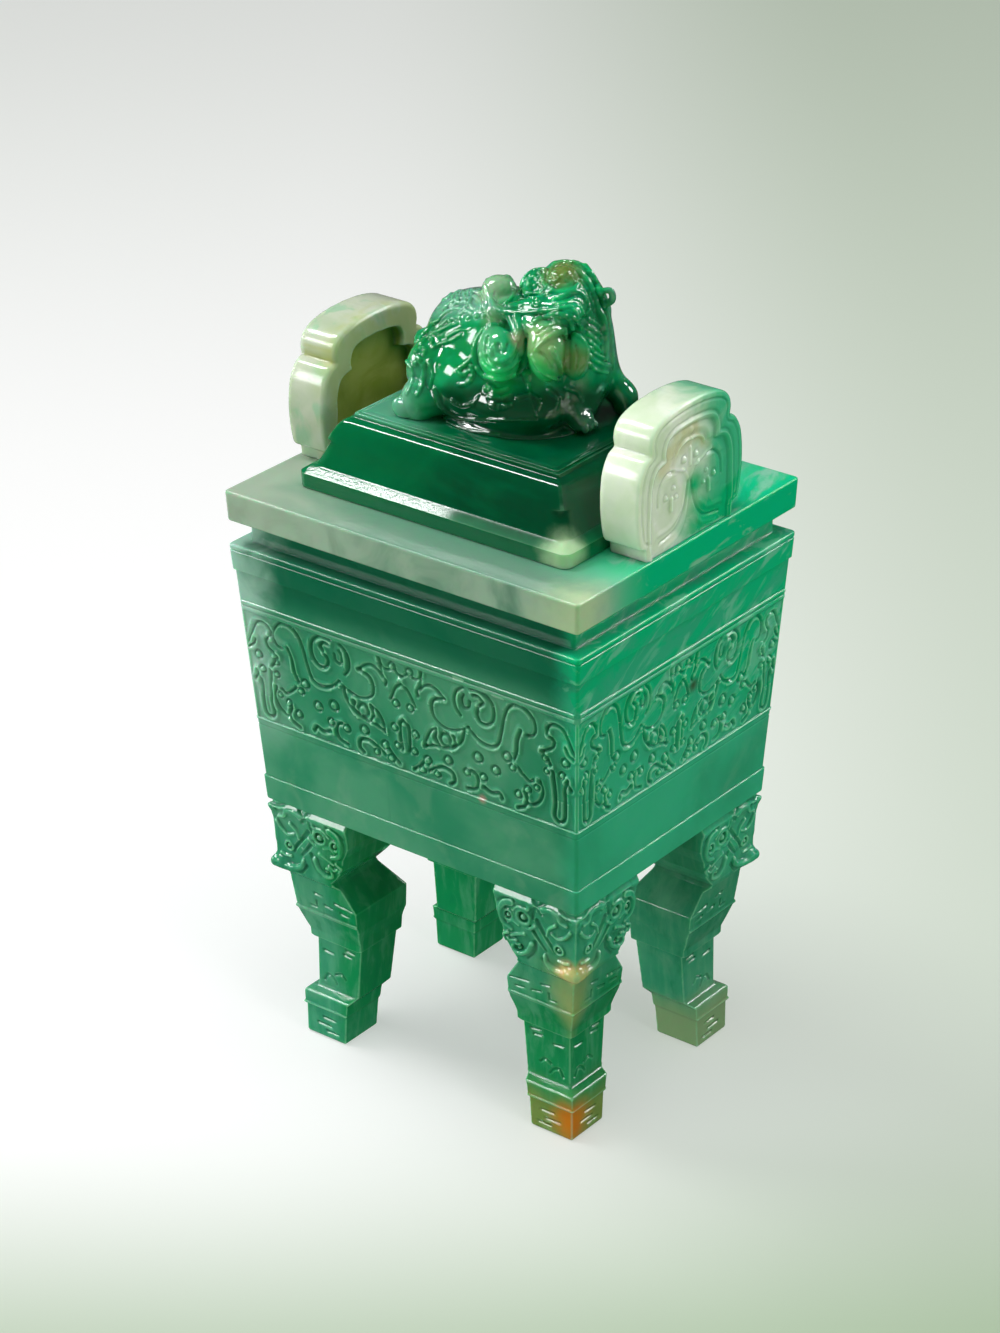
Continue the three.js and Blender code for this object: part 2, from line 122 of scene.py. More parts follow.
def smooth_curve(points, steps=8):
    """A Catmull-Rom curve through the points."""
    points = np.asarray(points, float)
    if len(points) < 3:
        share = np.linspace(0, 1, steps + 1)[:, None]
        return points[0] * (1 - share) + points[-1] * share
    padded = np.vstack([2 * points[0] - points[1], points, 2 * points[-1] - points[-2]])
    t = np.arange(steps)[:, None] / steps
    spans = []
    for before, start, end, after in zip(padded[:-3], padded[1:-2], padded[2:-1], padded[3:]):
        spans.append(0.5 * (2 * start + (end - before) * t
                            + (2 * before - 5 * start + 4 * end - after) * t ** 2
                            + (3 * start - before - 3 * end + after) * t ** 3))
    return np.vstack(spans + [points[-1:]])


def smooth_step(value, low, high):
    share = np.clip((value - low) / (high - low), 0, 1)
    return share * share * (3 - 2 * share)


def line_gap(across, up, start, end):
    """Distance from each place to the straight line between two points."""
    along = end - start
    share = ((across - start[0]) * along[0] + (up - start[1]) * along[1]) / max(along @ along, TINY)
    share = np.clip(share, 0, 1)
    return np.hypot(across - start[0] - share * along[0], up - start[1] - share * along[1])


# Relief: a height map over one face of the stone

class Relief:
    """Heights in millimetres over a grid of across and up values."""

    def __init__(self, across, up):
        self.across, self.up = across, up
        self.height = np.zeros((len(up), len(across)))

    def window(self, low, high):
        columns = slice(*np.searchsorted(self.across, [low[0], high[0]]))
        rows = slice(*np.searchsorted(self.up, [low[1], high[1]]))
        return rows, columns

    def distance(self, curve, margin):
        """Distance to a curve, and the window of the grid that lies near it."""
        rows, columns = self.window(curve.min(0) - margin, curve.max(0) + margin)
        across, up = np.meshgrid(self.across[columns], self.up[rows])
        nearest = np.full(across.shape, FAR)
        for start, end in zip(curve[:-1], curve[1:]):
            nearest = np.minimum(nearest, line_gap(across, up, start, end))
        return rows, columns, nearest

    def cut(self, points, width=0.55, depth=0.6, lip=0.3):
        """A channel along a curve, with softly raised stone beside it."""
        rows, columns, gap = self.distance(smooth_curve(points), 6 * width)
        channel = depth * (1 - smooth_step(gap, 0, width))
        shoulder = lip * np.exp(-((gap - 1.5 * width) / (0.8 * width)) ** 2)
        part = self.height[rows, columns]
        self.height[rows, columns] = np.minimum(part, part * 0.5 + shoulder) - channel + shoulder

    def ridge(self, points, width, rise):
        rows, columns, gap = self.distance(smooth_curve(points), 3 * width)
        self.height[rows, columns] += rise * (1 - smooth_step(gap, 0, width))

    def boss(self, centre, radius, rise=0.4, trench=0.5):
        """A round bead inside a ring-shaped channel."""
        centre = np.asarray(centre, float)
        reach = 2.2 * radius
        rows, columns = self.window(centre - reach, centre + reach)
        across, up = np.meshgrid(self.across[columns], self.up[rows])
        gap = np.hypot(across - centre[0], up - centre[1]) / radius
        bead = rise * np.sqrt(np.clip(1 - (gap / 0.75) ** 2, 0, 1))
        ring = trench * np.exp(-((gap - 0.95) / 0.28) ** 2)
        self.height[rows, columns] += bead - ring

    def at(self, across, up):
        """Height at any points, read between the grid's values."""
        column = np.interp(across, self.across, np.arange(len(self.across)))
        row = np.interp(up, self.up, np.arange(len(self.up)))
        left = np.minimum(column.astype(int), len(self.across) - 2)
        low = np.minimum(row.astype(int), len(self.up) - 2)
        u, v = column - left, row - low
        h = self.height
        return ((h[low, left] * (1 - u) + h[low, left + 1] * u) * (1 - v)
                + (h[low + 1, left] * (1 - u) + h[low + 1, left + 1] * u) * v)


# The traditional two-sided beast mask of the frieze, its right half, in millimetres from the
# middle of the long face and from the table
MASK_STROKES = [
    [(5.6, 104.6), (5.2, 103.2), (4.2, 102.2), (3.1, 102.2)],
    [(1.4, 102.5), (0.7, 101.9), (0, 101.7)],
    [(0, 100.0), (1.8, 98.4), (3.3, 95.4)],
    [(5.4, 104.3), (5.2, 101.6), (4.2, 99.6), (4.3, 98.4)],
    [(5.0, 100.2), (6.2, 101.4), (7.8, 101.9), (9.6, 101.3), (11.4, 99.9)],
    [(11.4, 99.9), (9.4, 99.4), (8.1, 98.4), (7.8, 96.4), (8.4, 94.5), (10.2, 93.3),
     (12.4, 93.0), (14.8, 93.7), (17.3, 95.2)],
    [(17.3, 95.2), (19.0, 93.6), (21.2, 92.6), (23.6, 92.6), (25.1, 93.9), (25.9, 96.6),
     (26.7, 100.4), (27.9, 103.2), (30.0, 104.5), (32.4, 104.2), (34.2, 102.4), (34.7, 100.2),
     (34.0, 98.6), (32.6, 98.2)],
    [(31.0, 98.8), (30.1, 96.4), (29.8, 93.6), (29.0, 91.4)],
    [(16.2, 104.1), (14.7, 103.0), (14.0, 101.0), (14.3, 98.9), (15.4, 97.3)],
    [(16.4, 102.6), (15.8, 101.2), (16.3, 99.6), (17.6, 99.9), (17.9, 101.4)],
    [(18.6, 104.6), (21.2, 104.6), (23.4, 103.2), (24.2, 100.9), (23.7, 98.6), (22.2, 97.3),
     (20.6, 97.5), (19.8, 99.0), (20.2, 100.6)],
    [(19.2, 103.4), (20.6, 103.4), (21.4, 102.3), (20.7, 101.4)],
    [(5.4, 86.9), (6.0, 89.2), (7.2, 91.1), (8.8, 92.3)],
    [(5.4, 86.9), (8.0, 87.9), (11.0, 88.2), (13.6, 89.3), (15.4, 91.4), (16.2, 94.0)],
    [(8.7, 91.6), (8.3, 90.0), (9.2, 88.6)],
    [(13.4, 91.8), (13.7, 90.3), (12.8, 89.0)],
    [(30.0, 89.8), (31.4, 88.5), (33.0, 87.5), (34.2, 88.2)],
    [(35.7, 88.3), (36.4, 86.2), (35.7, 83.8), (34.0, 82.3), (32.4, 82.2)],
    [(31.9, 84.6), (32.4, 82.8), (31.6, 81.1), (30.0, 80.3)],
    [(17.6, 85.0), (19.0, 84.3), (19.4, 82.4), (18.5, 80.9), (16.4, 80.4)],
    [(21.0, 82.2), (23.0, 81.5), (25.0, 82.0), (25.8, 81.0)],
    [(6.0, 81.2), (7.8, 82.4), (10.2, 83.4), (12.6, 82.8), (13.0, 81.0), (12.0, 80.0)],
    [(2.0, 80.4), (3.3, 81.4), (4.6, 82.8)],
    [(0, 91.4), (1.1, 90.2), (1.2, 87.0), (0.9, 84.2)],
]
MASK_BOSSES = [
    (2.3, 103.3, 0.9), (1.9, 94.7, 0.9), (11.1, 90.2, 1.5), (19.5, 88.7, 1.2), (24.1, 87.1, 1.1),
    (27.2, 91.4, 1.1), (28.6, 89.3, 0.8), (11.4, 85.4, 1.1), (16.4, 84.2, 0.9), (20.8, 84.4, 0.9),
    (5.8, 83.6, 1.0), (4.3, 80.9, 0.9), (2.3, 84.6, 0.8), (2.8, 88.8, 0.9), (30.0, 83.4, 0.9),
    (32.5, 85.4, 0.8), (8.3, 81.1, 0.8), (34.9, 86.6, 0.7),
]
# The half dragon at each corner, right side
DRAGON_STROKES = [
    [(36.6, 100.4), (36.6, 101.8), (38.0, 102.9), (40.2, 102.6), (41.6, 100.6), (42.8, 98.2),
     (43.4, 97.2)],
    [(37.3, 99.9), (38.2, 98.9), (37.8, 97.4), (36.4, 96.5), (35.4, 96.0)],
    [(41.3, 98.4), (42.1, 97.0), (43.2, 96.3)],
    [(35.3, 95.8), (36.2, 94.6), (37.3, 93.2)],
    [(37.8, 92.0), (38.3, 88.4), (38.6, 84.6), (38.4, 81.6), (39.6, 80.4), (40.9, 81.4),
     (41.1, 84.6), (41.0, 88.2), (41.8, 91.0)],
    [(41.6, 90.6), (42.6, 88.8)],
]
DRAGON_BOSSES = [(36.0, 94.4, 0.8), (41.0, 94.8, 1.0), (40.2, 91.6, 0.8), (36.3, 91.4, 0.7)]
PATTERN_HALF = 44.2


def frieze_relief(half, shift, step):
    """The frieze over one face: two mirrored halves, narrowed to the face's own width."""
    across = np.arange(-half, half + step, step)
    up = np.arange(FRIEZE_BOTTOM, FRIEZE_TOP, step)
    relief = Relief(across, up)
    narrowed = half / PATTERN_HALF
    for side in (1, -1):
        def place(point, moved=shift):
            return side * point[0] * narrowed + moved, point[1]
        for stroke in MASK_STROKES:
            relief.cut([place(point) for point in stroke])
        for x, z, radius in MASK_BOSSES:
            relief.boss(place((x, z)), radius)
        for stroke in DRAGON_STROKES:
            relief.cut([place(point, 0) for point in stroke])
        for x, z, radius in DRAGON_BOSSES:
            relief.boss(place((x, z), 0), radius)
    return relief


# Lofted bodies: rounded rectangles that climb along a profile

CORNER_STEPS = 5


class Outline:
    """Rings of points round a rectangle with round corners, all with the same count."""

    def __init__(self, long_steps, short_steps):
        self.counts = (short_steps, long_steps, short_steps, long_steps)

    def ring(self, half, radius, z, relief=None):
        """Points of one ring, from the +X face round by +Y. relief gives each face's heights."""
        parts = []
        run = np.asarray(half, float) - radius
        for face, count in enumerate(self.counts):
            angle = face * math.pi / 2
            out = np.array([math.cos(angle), math.sin(angle)])
            along = np.array([-out[1], out[0]])
            reach = run[0] if face % 2 else run[1]
            depth = half[1] if face % 2 else half[0]
            share = np.linspace(-1, 1, count)
            proud = relief(face, share * reach, z) if relief else np.zeros(count)
            parts.append(share[:, None] * reach * along + (depth + proud)[:, None] * out)
            turn = angle + np.linspace(0, math.pi / 2, CORNER_STEPS + 2)[1:-1]
            centre = np.sign(out + along) * run
            parts.append(centre + radius * np.stack([np.cos(turn), np.sin(turn)], -1))
        flat = np.vstack(parts)
        return np.column_stack([flat, np.full(len(flat), z)])


def softened(corners, steps=3):
    """Rounds each corner of a profile. A corner is (half length, half width, z, radius)."""
    corners = [np.asarray(corner, float) for corner in corners]
    profile = [corners[0][:3]]
    for before, corner, after in zip(corners[:-2], corners[1:-1], corners[2:]):
        radius, place = corner[3], corner[:3]
        if radius <= 0:
            profile.append(place)
            continue
        back, ahead = before[:3] - place, after[:3] - place
        back_run = np.hypot(back[0], back[2])
        ahead_run = np.hypot(ahead[0], ahead[2])
        cut = min(radius, 0.45 * back_run, 0.45 * ahead_run)
        start = place + back * cut / back_run
        end = place + ahead * cut / ahead_run
        if back_run > 4 * cut:
            profile.append(place + back * 1.5 * cut / back_run)
        for step in range(steps + 1):
            t = step / steps
            profile.append((1 - t) ** 2 * start + 2 * t * (1 - t) * place + t * t * end)
        if ahead_run > 4 * cut:
            profile.append(place + ahead * 1.5 * cut / ahead_run)
    profile.append(corners[-1][:3])
    return profile


def wall_half(z):
    """Half length and half width of the tapering wall at a height."""
    return BASE_HALF + (SHOULDER_HALF - BASE_HALF) * (z - PLINTH_TOP) / (LIP_UNDERSIDE - PLINTH_TOP)


def wall_corner(z, proud, radius):
    half = wall_half(z) + proud
    return (*half, z, radius)


def wall_line(z, depth, width):
    """A fine line cut round the wall."""
    return [
        wall_corner(z - width, 0, 0.05), wall_corner(z, -depth, 0.08), wall_corner(z + width, 0, 0.05),
    ]


FRIEZE_STEP = 0.2
FRIEZE_GROUND = -0.45
BORDER_PROUD = 0.3
# Heights of the first rings inside each edge of the frieze, so that its steps stay crisp
EDGE_STEPS = np.array([0.03, 0.08, 0.14, 0.22])
# Radii of the upright corners, and the largest one as a share of half the width
WALL_ROUNDING, HOLLOW_ROUNDING, MOST_ROUNDING = 0.8, 3.5, 0.3


def rim_corner(inset, z, radius):
    return (*(RIM_HALF - inset), z, radius)


def vessel_profile():
    lip_line = NECK_UNDERSIDE - 1.3
    hollow = RIM_HALF - MOUTH_INSET
    lower = softened([
        (1, 1, LEG_HEIGHT, 0),
        wall_corner(LEG_HEIGHT, PLINTH_PROUD, 0.35),
        wall_corner(PLINTH_TOP, PLINTH_PROUD, 0.2),
        wall_corner(PLINTH_TOP + 0.05, 0, 0.1),
        *wall_line(FRIEZE_BOTTOM - 1.7, 0.14, 0.25),
        wall_corner(FRIEZE_BOTTOM - 0.5, 0, 0.05),
        wall_corner(FRIEZE_BOTTOM - 0.35, 0.15, 0.08),
        wall_corner(FRIEZE_BOTTOM, 0.15, 0.06),
    ])
    frieze = np.concatenate([
        FRIEZE_BOTTOM + EDGE_STEPS, np.arange(FRIEZE_BOTTOM + 0.4, FRIEZE_TOP - 0.4, FRIEZE_STEP),
        FRIEZE_TOP - EDGE_STEPS[::-1], [FRIEZE_TOP + 0.05],
    ])
    middle = [np.array([*wall_half(z), z]) for z in frieze]
    upper = softened([
        wall_corner(FRIEZE_TOP + 0.3, 0, 0.1),
        wall_corner(LIP_UNDERSIDE, 0, 0.12),
        wall_corner(LIP_UNDERSIDE + 0.05, LIP_PROUD, 0.2),
        wall_corner(lip_line - 0.25, LIP_PROUD, 0.05),
        wall_corner(lip_line, LIP_PROUD - 0.16, 0.06),
        wall_corner(lip_line + 0.25, LIP_PROUD, 0.05),
        wall_corner(NECK_UNDERSIDE, LIP_PROUD, 0.45),
        rim_corner(NECK_INSET, NECK_UNDERSIDE + 0.1, 0.35),
        rim_corner(NECK_INSET, RIM_UNDERSIDE, 0.4),
        rim_corner(0.3, RIM_UNDERSIDE + 0.05, 0.4),
        rim_corner(0, RIM_TOP, 0.55),
        (*hollow, RIM_TOP, 0.7),
        (*(hollow - HOLLOW_TAPER), FLOOR_LEVEL, 3),
        (1, 1, FLOOR_LEVEL, 0),
    ])
    return lower + middle + upper


def vessel_piece(material):
    outline = Outline(long_steps=int(88 / FRIEZE_STEP), short_steps=int(73 / FRIEZE_STEP))
    fine = min(FRIEZE_STEP, 0.2)
    short_relief = frieze_relief(SHOULDER_HALF[1], 0, fine)
    long_relief = frieze_relief(SHOULDER_HALF[0], MEDALLION_SHIFT, fine)

    def carved(face, across, z):
        """Depth of the frieze's ground and its relief, with the plain border above it."""
        if not FRIEZE_BOTTOM < z < FRIEZE_TOP:
            return np.zeros(len(across))
        axis, relief = (0, long_relief) if face % 2 else (1, short_relief)
        share = across / wall_half(z)[axis]
        inside = smooth_step(z, FRIEZE_BOTTOM, FRIEZE_BOTTOM + 0.14)
        inside = inside * (1 - smooth_step(z, BORDER_BOTTOM - 0.5, BORDER_BOTTOM))
        inside = inside * (1 - smooth_step(np.abs(share), 0.985, 1.0))
        border = smooth_step(z, BORDER_BOTTOM - 0.2, BORDER_BOTTOM + 0.3)
        border = border * (1 - smooth_step(z, FRIEZE_TOP - 0.14, FRIEZE_TOP))
        line = 0.3 * math.exp(-((z - FRIEZE_TOP + 1.1) / 0.2) ** 2)
        height = relief.at(share * SHOULDER_HALF[axis], np.full(len(across), z))
        carving = np.clip(FRIEZE_GROUND + 0.2 + height, FRIEZE_GROUND - 0.6, 0.35)
        return inside * carving + (1 - inside) * (border * BORDER_PROUD - border * line)

    mouth = RIM_HALF[0] - MOUTH_INSET
    rings = []
    for half_length, half_width, z in vessel_profile():
        in_hollow = LEG_HEIGHT + 1 < z <= RIM_TOP and half_length < mouth + 0.5
        radius = min(HOLLOW_ROUNDING if in_hollow else WALL_ROUNDING, MOST_ROUNDING * half_width)
        relief = carved if half_length > mouth + 1 else None
        rings.append(outline.ring((half_length, half_width), radius, z, relief))
    return make_piece("vessel", *loft(rings), material, "vessel", "body_jade", "vessel_body")


def loft(rings):
    """Points and quads through rings of points. A fan of quads, folded onto a centre point,
    closes each end."""
    around = len(rings[0])
    points = np.vstack(rings)
    last = len(points) - around
    faces = ring_faces(len(rings), around)
    bottom, top = len(points), len(points) + 1
    centres = np.array([points[:around].mean(0), points[last:].mean(0)])
    first = np.arange(0, around, 2)
    after, beyond = (first + 1) % around, (first + 2) % around
    low_cap = np.stack([beyond, after, first, np.full(len(first), bottom)], -1)
    high_cap = np.stack([last + first, last + after, last + beyond, np.full(len(first), top)], -1)
    return np.vstack([points, centres]), np.vstack([faces, low_cap, high_cap])


# The cover. Inset, height above the rim and rounding of its outer skin: an upright band, a bevel
# that catches the light, and a slope that runs from hollow to round
COVER_SKIN = [
    (0.1, 0.02, 0.4), (0, 3.3, 0.06), (1.2, 4.15, 0.6), (2.2, 4.85, 0.3),
    (3.4, 7.4, 1.0), (4.6, 10.6, 1.0), (5.8, 12.9, 0.6), (6.8, 14.1, 0.5), (8.3, 14.75, 0.2),
]
# Inset, height below the top and rounding of the fine steps and lines round the flat plate
COVER_STEPS = [
    (8.45, 0.85, 0.08), (8.55, 0.5, 0.1), (9.1, 0.45, 0.1), (9.2, 0.7, 0.08), (9.35, 0.7, 0.08),
    (9.5, 0.3, 0.1), (10.1, 0.25, 0.1), (10.5, 0, 0.3),
]
TONGUE_DEPTH = 3.2
TONGUE_CLEARANCE = 0.4
TONGUE_WALL = 3.0
COVER_CEILING = 6.5
# Radii of the cover's upright corners at its foot, at its top and inside
FOOT_ROUNDING, TOP_ROUNDING, INNER_ROUNDING = 2.2, 0.7, 3.2


def cover_piece(material):
    mouth = RIM_HALF - MOUTH_INSET - TONGUE_CLEARANCE
    inner = mouth - TONGUE_WALL
    tongue = RIM_TOP - TONGUE_DEPTH
    rest = RIM_TOP + 0.02
    ceiling = COVER_TOP - COVER_CEILING
    profile = softened([
        (1, 1, ceiling, 0),
        (*(inner - 5), ceiling, 2),
        (*inner, rest + 3.5, 1),
        (*inner, tongue, 0.4),
        (*mouth, tongue, 0.4),
        (*mouth, rest, 0.2),
        *[(*(COVER_HALF - inset), RIM_TOP + height, radius) for inset, height, radius in COVER_SKIN],
        *[(*(COVER_HALF - inset), COVER_TOP - depth, radius) for inset, depth, radius in COVER_STEPS],
        (1, 1, COVER_TOP, 0),
    ])
    outline = Outline(long_steps=40, short_steps=32)
    rings = []
    for half_length, half_width, z in profile:
        inset = COVER_HALF[0] - half_length
        radius = FOOT_ROUNDING if inset < 0.6 else max(TOP_ROUNDING, FOOT_ROUNDING - inset)
        if inset > 2 and z < ceiling + 0.5:
            radius = INNER_ROUNDING
        rings.append(outline.ring((half_length, half_width), min(radius, MOST_ROUNDING * half_width), z))
    return make_piece("cover_dome", *loft(rings), material, "lid", "cover_jade", "cover")


# Handles: a cloud outline filled by two carved sheets and a rounded edge. Places are (across,
# height above the rim).

HANDLE_STEP = 0.22
HANDLE_HALF = 18.0
HANDLE_RISE = HANDLE_HIGH[2] - HANDLE_LOW[2]
HANDLE_EDGE = 1.1
HANDLE_LAYERS = 6
# Depths of the outer and the inner field, of the surround, and the width of the fields' bevel
OUTER_DEPTH, INNER_DEPTH, SURROUND_DEPTH, FIELD_BEVEL = 0.5, 2.4, 0.25, 0.7
CLOUD = [
    (14.6, -3.0), (14.6, 1.6), (15.2, 2.7), (16.7, 3.5), (17.5, 6.4), (18.0, 10.5), (17.9, 14.6),
    (17.2, 18.3), (15.4, 21.2), (13.4, 22.3),
]
CLOUD_CROWN = [
    (13.4, 22.3), (13.7, 24.2), (13.1, 26.3), (11.2, 28.0), (7.8, 29.1), (3.8, 29.65), (0, 29.8),
]
FIELD = [
    (13.0, -3.0), (13.2, 2.0), (13.5, 6.0), (13.4, 11.0), (13.1, 15.4), (11.6, 18.4), (8.5, 19.4),
]
FIELD_CROWN = [(8.5, 19.4), (8.7, 21.4), (7.7, 23.6), (5.2, 24.6), (0, 25.0)]
# The low ruyi relief of the outer field, its right half: width, rise and curve of the arch, the
# cloud lobes and their curls, then the cuts, with their depth, and a last small ridge
RUYI_RIDGES = [
    (1.5, 0.3, [(12.0, 4.0), (12.0, 9.0), (11.6, 13.6), (9.6, 16.8), (6.8, 18.0), (6.4, 20.6),
                (4.8, 22.6), (2.4, 23.4), (0, 23.5)]),
    (1.3, 0.4, [(9.6, 9.2), (9.2, 13.0), (7.0, 15.2), (4.6, 14.6), (3.8, 12.4)]),
    (0.6, 0.5, [(7.0, 17.2), (4.2, 16.2), (1.8, 15.2), (0.5, 13.4)]),
    (0.6, 0.4, [(4.9, 19.2), (4.0, 20.6), (2.2, 21.4), (0, 21.6)]),
    (0.9, 0.4, [(1.6, 12.0), (2.8, 8.0), (6.0, 5.0), (10.6, 4.4)]),
    (0.9, 0.35, [(0.9, 8.6), (1.8, 4.6), (4.4, 1.8), (8.6, 0.8)]),
]
RUYI_CUTS = [
    (0.5, 0.35, [(10.8, 10.4), (10.4, 14.0), (8.2, 16.2), (5.8, 16.4)]),
    (0.5, 0.35, [(0.6, 12.4), (1.6, 7.6), (4.6, 3.6), (10.0, 2.4)]),
]
RUYI_LAST = [(0.6, 0.6, [(6.3, 10.9), (6.4, 8.2)])]
RUYI_BEADS = [(4.6, 10.6, 0.6), (8.1, 11.4, 0.8), (2.0, 17.6, 0.9), (5.6, 12.9, 0.6)]


def cloud_curve(lobe, crown):
    half = np.vstack([smooth_curve(lobe, 6), smooth_curve(crown, 6)[1:]])
    other = half[::-1][1:] * np.array([-1, 1])
    return np.vstack([half, other])


def distance_inside(across, up, curve):
    """Signed distance to a closed curve, negative inside."""
    nearest = np.full(across.shape, FAR)
    crossings = np.zeros(across.shape, int)
    for start, end in zip(curve, np.roll(curve, -1, 0)):
        nearest = np.minimum(nearest, line_gap(across, up, start, end))
        spans = (start[1] > up) != (end[1] > up)
        rise = end[1] - start[1] if abs(end[1] - start[1]) > TINY else TINY
        meets = start[0] + (up - start[1]) / rise * (end[0] - start[0])
        crossings += spans & (across < meets)
    return np.where(crossings % 2 == 1, -nearest, nearest)


def nearest_on(points, curve):
    """The point of a closed curve that is nearest to each point."""
    best = np.full(len(points), FAR)
    place = np.array(points, float)
    for start, end in zip(curve, np.roll(curve, -1, 0)):
        along = end - start
        share = np.clip((points - start) @ along / max(along @ along, TINY), 0, 1)
        foot = start + share[:, None] * along
        gap = np.linalg.norm(points - foot, axis=1)
        closer = gap < best
        best[closer] = gap[closer]
        place[closer] = foot[closer]
    return place


def scroll(centre, radius, turns, start, hand):
    """A spiral that winds in towards its centre."""
    share = np.linspace(0, 1, 14)
    angle = start + hand * 2 * math.pi * turns * share
    reach = radius * (1 - 0.82 * share)
    return [(centre[0] + r * math.cos(a), centre[1] + r * math.sin(a)) for a, r in zip(angle, reach)]


def handle_relief(across, up):
    relief = Relief(across, up)
    for side in (1, -1):
        def placed(points):
            return [(side * x, y) for x, y in points]
        for width, rise, points in RUYI_RIDGES:
            relief.ridge(placed(points), width, rise)
        for width, depth, points in RUYI_CUTS:
            relief.cut(placed(points), width, depth, lip=0.0)
        for width, rise, points in RUYI_LAST:
            relief.ridge(placed(points), width, rise)
        for x, y, radius in RUYI_BEADS:
            relief.boss((side * x, y), radius, rise=0.55, trench=0.15)
    relief.ridge([(0, 19.6), (0, 16.0)], width=0.6, rise=0.45)
    return relief.height


def rib(gap, centre, width, height):
    """A low round rib that follows a curve at a distance."""
    return height * np.exp(-((gap - centre) / width) ** 2)


def handle_sheets(across_axis, up_axis, place, depth):
    """How far out the outer and the inner sheet of the right handle stand, along X."""
    sunk = np.clip(HANDLE_EDGE - depth, 0, HANDLE_EDGE)
    edge = HANDLE_EDGE - np.sqrt(np.clip(HANDLE_EDGE ** 2 - sunk ** 2, 0, None))
    gap = distance_inside(place[..., 0], place[..., 1], cloud_curve(FIELD, FIELD_CROWN))
    within = smooth_step(-gap, 0.0, FIELD_BEVEL)
    # A rib and a groove run round the field, and a second groove follows the plaque's edge
    bead = rib(gap, 0.5, 0.3, 0.22) - rib(gap, 1.2, 0.3, 0.22)
    surround = bead - SURROUND_DEPTH - rib(depth, 1.5, 0.25, 0.25)
    surround = surround * smooth_step(depth, 0, FIELD_BEVEL)
    relief = np.clip(handle_relief(across_axis, up_axis), -0.6, 0.7)
    outer = HANDLE_HIGH[0] - edge + np.where(within > 0, 0, surround)
    outer = outer + within * (relief - OUTER_DEPTH - SURROUND_DEPTH)
    outer = outer - (1 - within) * (gap < 0) * SURROUND_DEPTH
    return outer, HANDLE_LOW[0] + edge + within * INNER_DEPTH


def handle_piece(name, node, side, material):
    outline = cloud_curve(CLOUD, CLOUD_CROWN)
    across_axis = np.arange(-HANDLE_HALF - 2 * HANDLE_STEP, HANDLE_HALF + 2 * HANDLE_STEP, HANDLE_STEP)
    up_axis = np.arange(0, HANDLE_RISE + 2 * HANDLE_STEP, HANDLE_STEP)
    across, up = np.meshgrid(across_axis, up_axis)
    gap = distance_inside(across, up, outline)
    inside = gap < 0
    # Each cell with a corner inside is kept, and its other corners move onto the outline
    kept = inside[:-1, :-1] | inside[1:, :-1] | inside[:-1, 1:] | inside[1:, 1:]
    used = np.zeros(inside.shape, bool)
    for rows in (slice(None, -1), slice(1, None)):
        for columns in (slice(None, -1), slice(1, None)):
            used[rows, columns] |= kept
    place = np.stack([across, up], -1)
    loose = used & ~inside
    place[loose] = nearest_on(place[loose], outline)
    place[..., 1] = np.maximum(place[..., 1], 0)
    outer, inner = handle_sheets(across_axis, up_axis, place, np.where(loose, 0, -gap))
    count = used.sum()
    number = -np.ones(used.shape, int)
    number[used] = np.arange(count)
    flat = place[used] + np.array([0, RIM_TOP])
    outer_points = np.column_stack([outer[used], flat])
    inner_points = np.column_stack([inner[used], flat])
    row, column = np.argwhere(kept).T
    quads = np.stack([number[row, column], number[row, column + 1],
                      number[row + 1, column + 1], number[row + 1, column]], -1)
    # An edge that only one kept cell has gets a column of quads from the outer sheet to the inner
    sides = np.vstack([quads[:, [0, 1]], quads[:, [1, 2]], quads[:, [2, 3]], quads[:, [3, 0]]])
    code = np.sort(sides, 1) @ np.array([count, 1])
    _, first, repeats = np.unique(code, return_index=True, return_counts=True)
    start, end = sides[first[repeats == 1]].T
    points, walls = [outer_points], []
    for layer in range(1, HANDLE_LAYERS):
        share = layer / HANDLE_LAYERS
        points.append(outer_points * (1 - share) + inner_points * share)
    points.append(inner_points)
    for layer in range(HANDLE_LAYERS):
        low, high = layer * count, (layer + 1) * count
        walls.append(np.stack([end + low, start + low, start + high, end + high], -1))
    faces = np.vstack([quads, quads[:, ::-1] + HANDLE_LAYERS * count] + walls)
    points, faces = drop_unused(np.vstack(points), faces)
    if side < 0:
        points = points * np.array([-1, 1, 1])
        faces = faces[:, ::-1]
    return make_piece(name, points, faces, material, "vessel", "handle_jade", node)


def drop_unused(points, faces):
    used = np.unique(faces)
    number = np.zeros(len(points), int)
    number[used] = np.arange(len(used))
    return points[used], number[faces]


# Stones carved as a distance field: negative inside, in millimetres

STONE_STEP = 0.2


